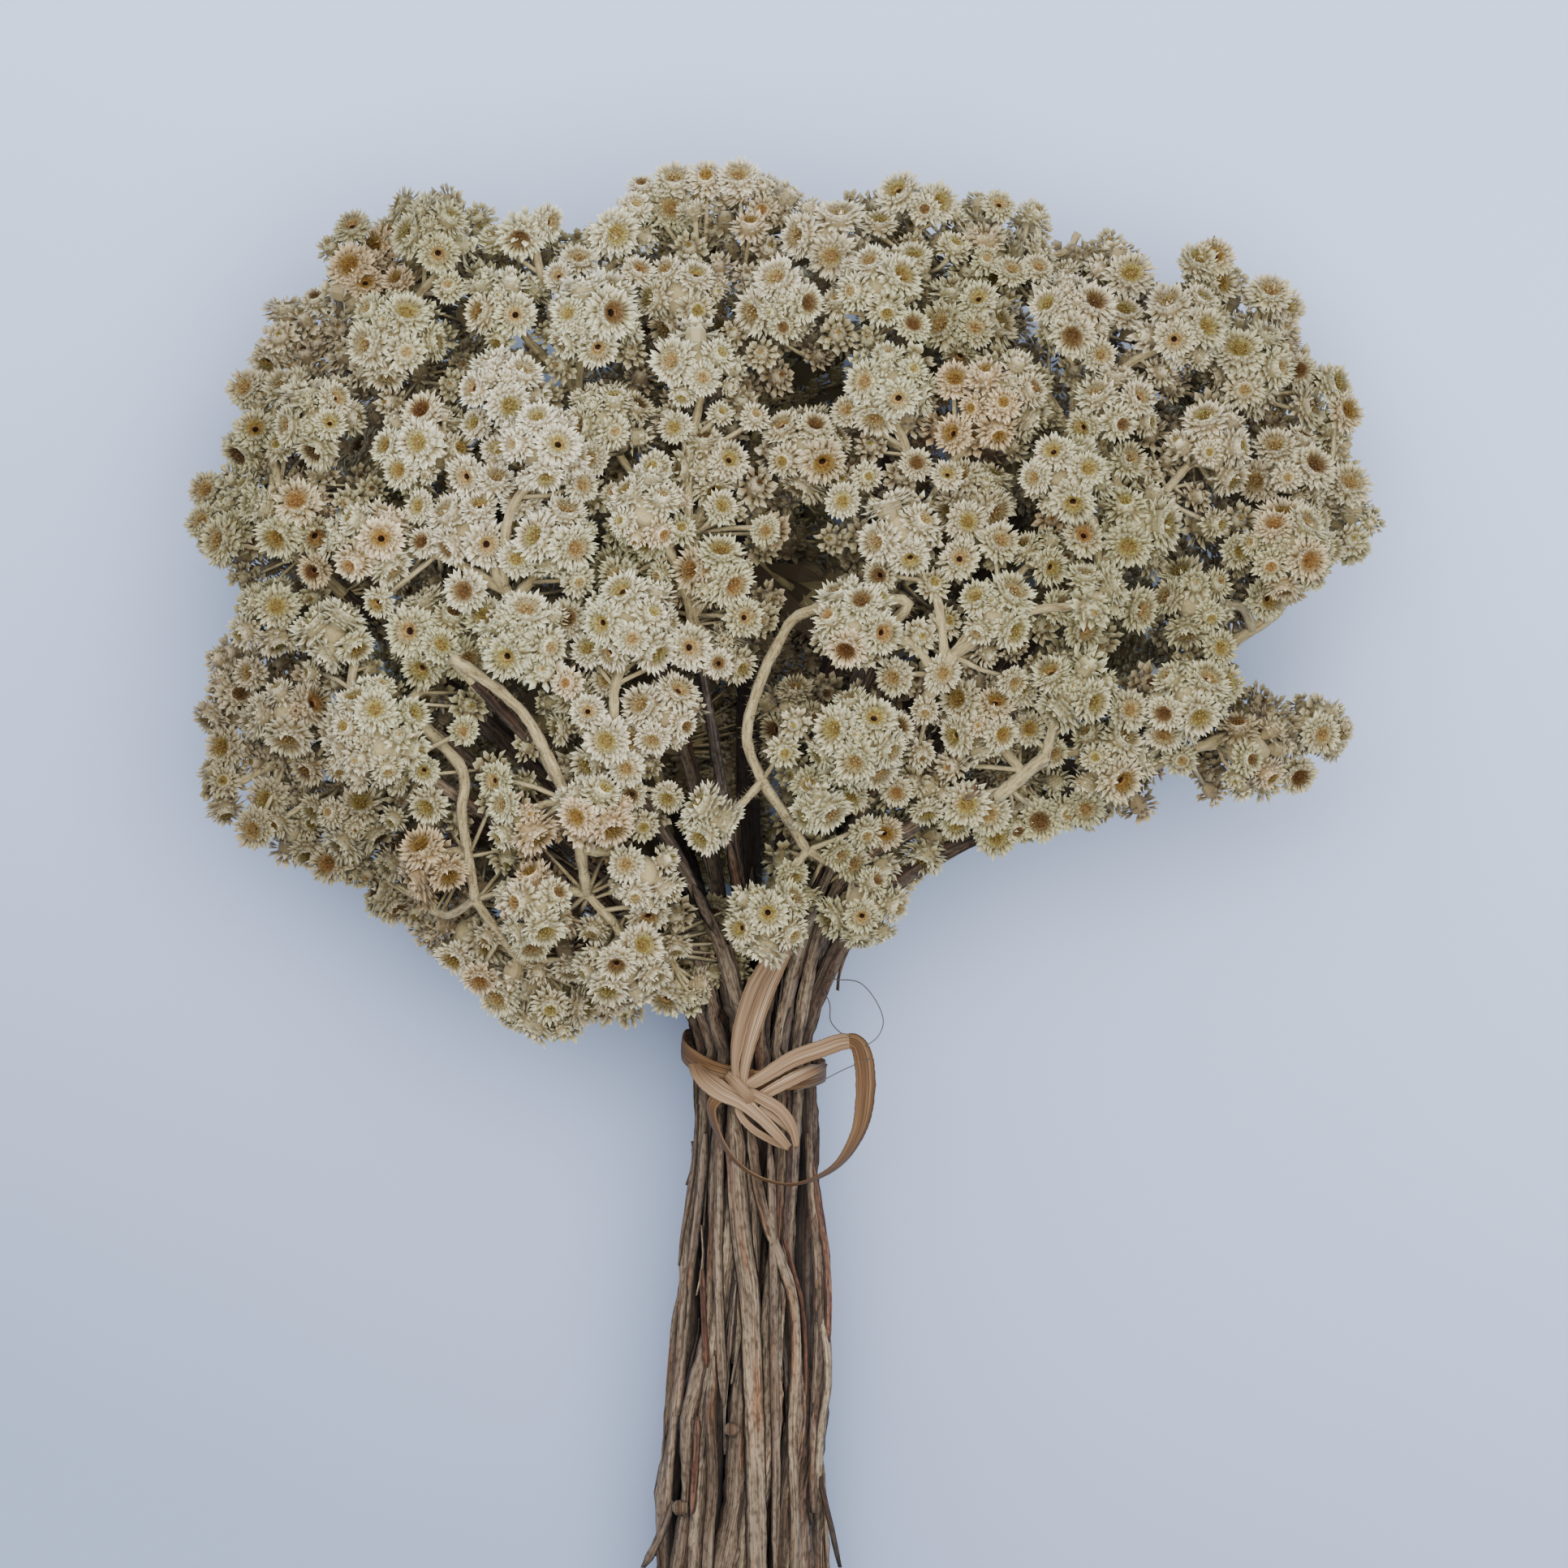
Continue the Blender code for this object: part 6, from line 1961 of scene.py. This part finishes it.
class StageSettings(bpy.types.PropertyGroup):
    """Floor, camera and light."""

    camera_distance: FloatProperty(
        name="Camera distance", description="Height of the camera over the surface",
        default=1.5, min=0.3, max=5.0, unit="LENGTH")
    view_width: FloatProperty(
        name="View width", description="Width of what the camera shows",
        default=0.253, min=0.1, max=1.0, unit="LENGTH")
    floor_colour: colour_setting("Surface", "Colour under the bunch", (0.578, 0.696, 1.0))
    key_power: FloatProperty(
        name="Key light", description="Power of the large soft light",
        default=28.0, min=0.0, max=500.0, unit="POWER")


def surface_shift():
    """How far the layout's places lie from the frame's, in millimetres."""
    low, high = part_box("raffia_band")
    middle = (np.array(low) + np.array(high)) / 2 / MM
    return np.array([middle[0] - bundle_axis(BAND_MIDDLE_Y)[0], middle[1] - BAND_MIDDLE_Y, 0.0])


SHIFT = surface_shift()
layout = Layout()


class EDELWEISS_OT_add_stems(bpy.types.Operator):
    """Dress every woody stem with ridged bark."""

    bl_idname = "edelweiss.add_stems"
    bl_label = "Woody stems"

    def execute(self, context):
        finish = bark_finish(context.scene.edelweiss_stems)
        for i in range(len(layout.names)):
            add_stem(layout, i, finish)
        return {"FINISHED"}


class EDELWEISS_OT_add_flowers(bpy.types.Operator):
    """Grow the woolly stalks and flower heads of every spray."""

    bl_idname = "edelweiss.add_flowers"
    bl_label = "Flower heads and stalks"

    def execute(self, context):
        settings = context.scene.edelweiss_flowers
        finishes = [bract_finish(settings), disc_finish(settings), wool_finish(settings)]
        draw = np.random.default_rng(SEED)
        shapes = [HeadShape(kind, draw) for kind in HEAD_KINDS]
        heads = Heads(layout, settings.head_radius / MM, settings.head_uneven)
        for i in range(len(layout.names)):
            add_corymb(layout, heads, shapes, i, finishes)
        return {"FINISHED"}


class EDELWEISS_OT_add_raffia(bpy.types.Operator):
    """Tie the bundle with its raffia band and bow."""

    bl_idname = "edelweiss.add_raffia"
    bl_label = "Raffia tie"

    def execute(self, context):
        settings = context.scene.edelweiss_raffia
        finish = raffia_finish(settings)
        add_band(settings.strip_width / MM, finish)
        add_bow(settings.strip_width / MM, finish)
        return {"FINISHED"}


# Half the surface's width and the place under the camera, the width of its sensor, the lamps as
# name, place in metres, size, share of the key light's power and colour, and the light all round
SURFACE_HALF = 1.5
VIEW_MIDDLE = (3.4, 48.6, 40.0)
SENSOR_WIDTH = 36.0
LIGHTS = (
    ("key_light", (0.18, 0.08, 1.25), 1.2, 1.0, (1.0, 0.99, 0.97)),
    ("fill_light", (-0.5, 0.5, 1.1), 1.2, 0.35, (0.93, 0.96, 1.0)),
)
STUDIO_COLOUR = (0.86, 0.92, 1.0, 1.0)
STUDIO_STRENGTH = 0.38


class EDELWEISS_OT_add_stage(bpy.types.Operator):
    """Set up the surface, the camera straight above and the soft light."""

    bl_idname = "edelweiss.add_stage"
    bl_label = "Surface, camera and light"

    def execute(self, context):
        settings = context.scene.edelweiss_stage
        mesh = bpy.data.meshes.new("surface")
        corners = SURFACE_HALF * np.array([(-1, -1, 0), (1, -1, 0), (1, 1, 0), (-1, 1, 0)])
        mesh.from_pydata(corners.tolist(), [], [(0, 1, 2, 3)])
        mesh.materials.append(paper_finish(settings))
        add_object("surface", mesh)
        lens = bpy.data.cameras.new("camera")
        lens.sensor_width = SENSOR_WIDTH
        lens.lens = SENSOR_WIDTH * settings.camera_distance / settings.view_width
        context.scene.camera = add_object("camera", lens)
        middle = (np.array(VIEW_MIDDLE) + SHIFT) * MM
        context.scene.camera.location = middle + (0.0, 0.0, settings.camera_distance)
        for name, place, size, power, colour in LIGHTS:
            lamp = bpy.data.lights.new(name, "AREA")
            lamp.size = size
            lamp.energy = power * settings.key_power
            lamp.color = colour
            light = add_object(name, lamp)
            light.location = place
            light.rotation_euler = (-Vector(place)).to_track_quat("-Z", "Y").to_euler()
        world = bpy.data.worlds.new("studio")
        world.use_nodes = True
        background = world.node_tree.nodes["Background"]
        background.inputs["Color"].default_value = STUDIO_COLOUR
        background.inputs["Strength"].default_value = STUDIO_STRENGTH
        context.scene.world = world
        return {"FINISHED"}


class EDELWEISS_PT_panel(bpy.types.Panel):
    """Settings and pieces of the bunch."""

    bl_label = "Dried edelweiss bunch"
    bl_space_type = "VIEW_3D"
    bl_region_type = "UI"
    bl_category = "Edelweiss"

    def draw(self, context):
        for group, operator in PANEL_ROWS:
            box = self.layout.box()
            settings = getattr(context.scene, group)
            for name in settings.bl_rna.properties.keys():
                if name not in ("rna_type", "name"):
                    box.prop(settings, name)
            box.operator(operator)


SETTINGS = {
    "edelweiss_stems": StemSettings,
    "edelweiss_flowers": FlowerSettings,
    "edelweiss_raffia": RaffiaSettings,
    "edelweiss_stage": StageSettings,
}
OPERATORS = (
    EDELWEISS_OT_add_stems,
    EDELWEISS_OT_add_flowers,
    EDELWEISS_OT_add_raffia,
    EDELWEISS_OT_add_stage,
)
PANEL_ROWS = tuple(zip(SETTINGS, (operator.bl_idname for operator in OPERATORS)))


def register():
    """Registers the settings, operators and panel."""
    for name, group in SETTINGS.items():
        bpy.utils.register_class(group)
        setattr(bpy.types.Scene, name, PointerProperty(type=group))
    for operator in (*OPERATORS, EDELWEISS_PT_panel):
        bpy.utils.register_class(operator)


def unregister():
    """Takes them away again."""
    for operator in (*OPERATORS, EDELWEISS_PT_panel):
        bpy.utils.unregister_class(operator)
    for name, group in SETTINGS.items():
        delattr(bpy.types.Scene, name)
        bpy.utils.unregister_class(group)


def main():
    """Builds every piece and the stage."""
    register()
    for obj in [obj for obj in bpy.data.objects if obj.name in ("Cube", "Light", "Camera")]:
        bpy.data.objects.remove(obj)
    bpy.ops.edelweiss.add_stems()
    bpy.ops.edelweiss.add_flowers()
    bpy.ops.edelweiss.add_raffia()
    bpy.ops.edelweiss.add_stage()


if __name__ == "__main__":
    main()
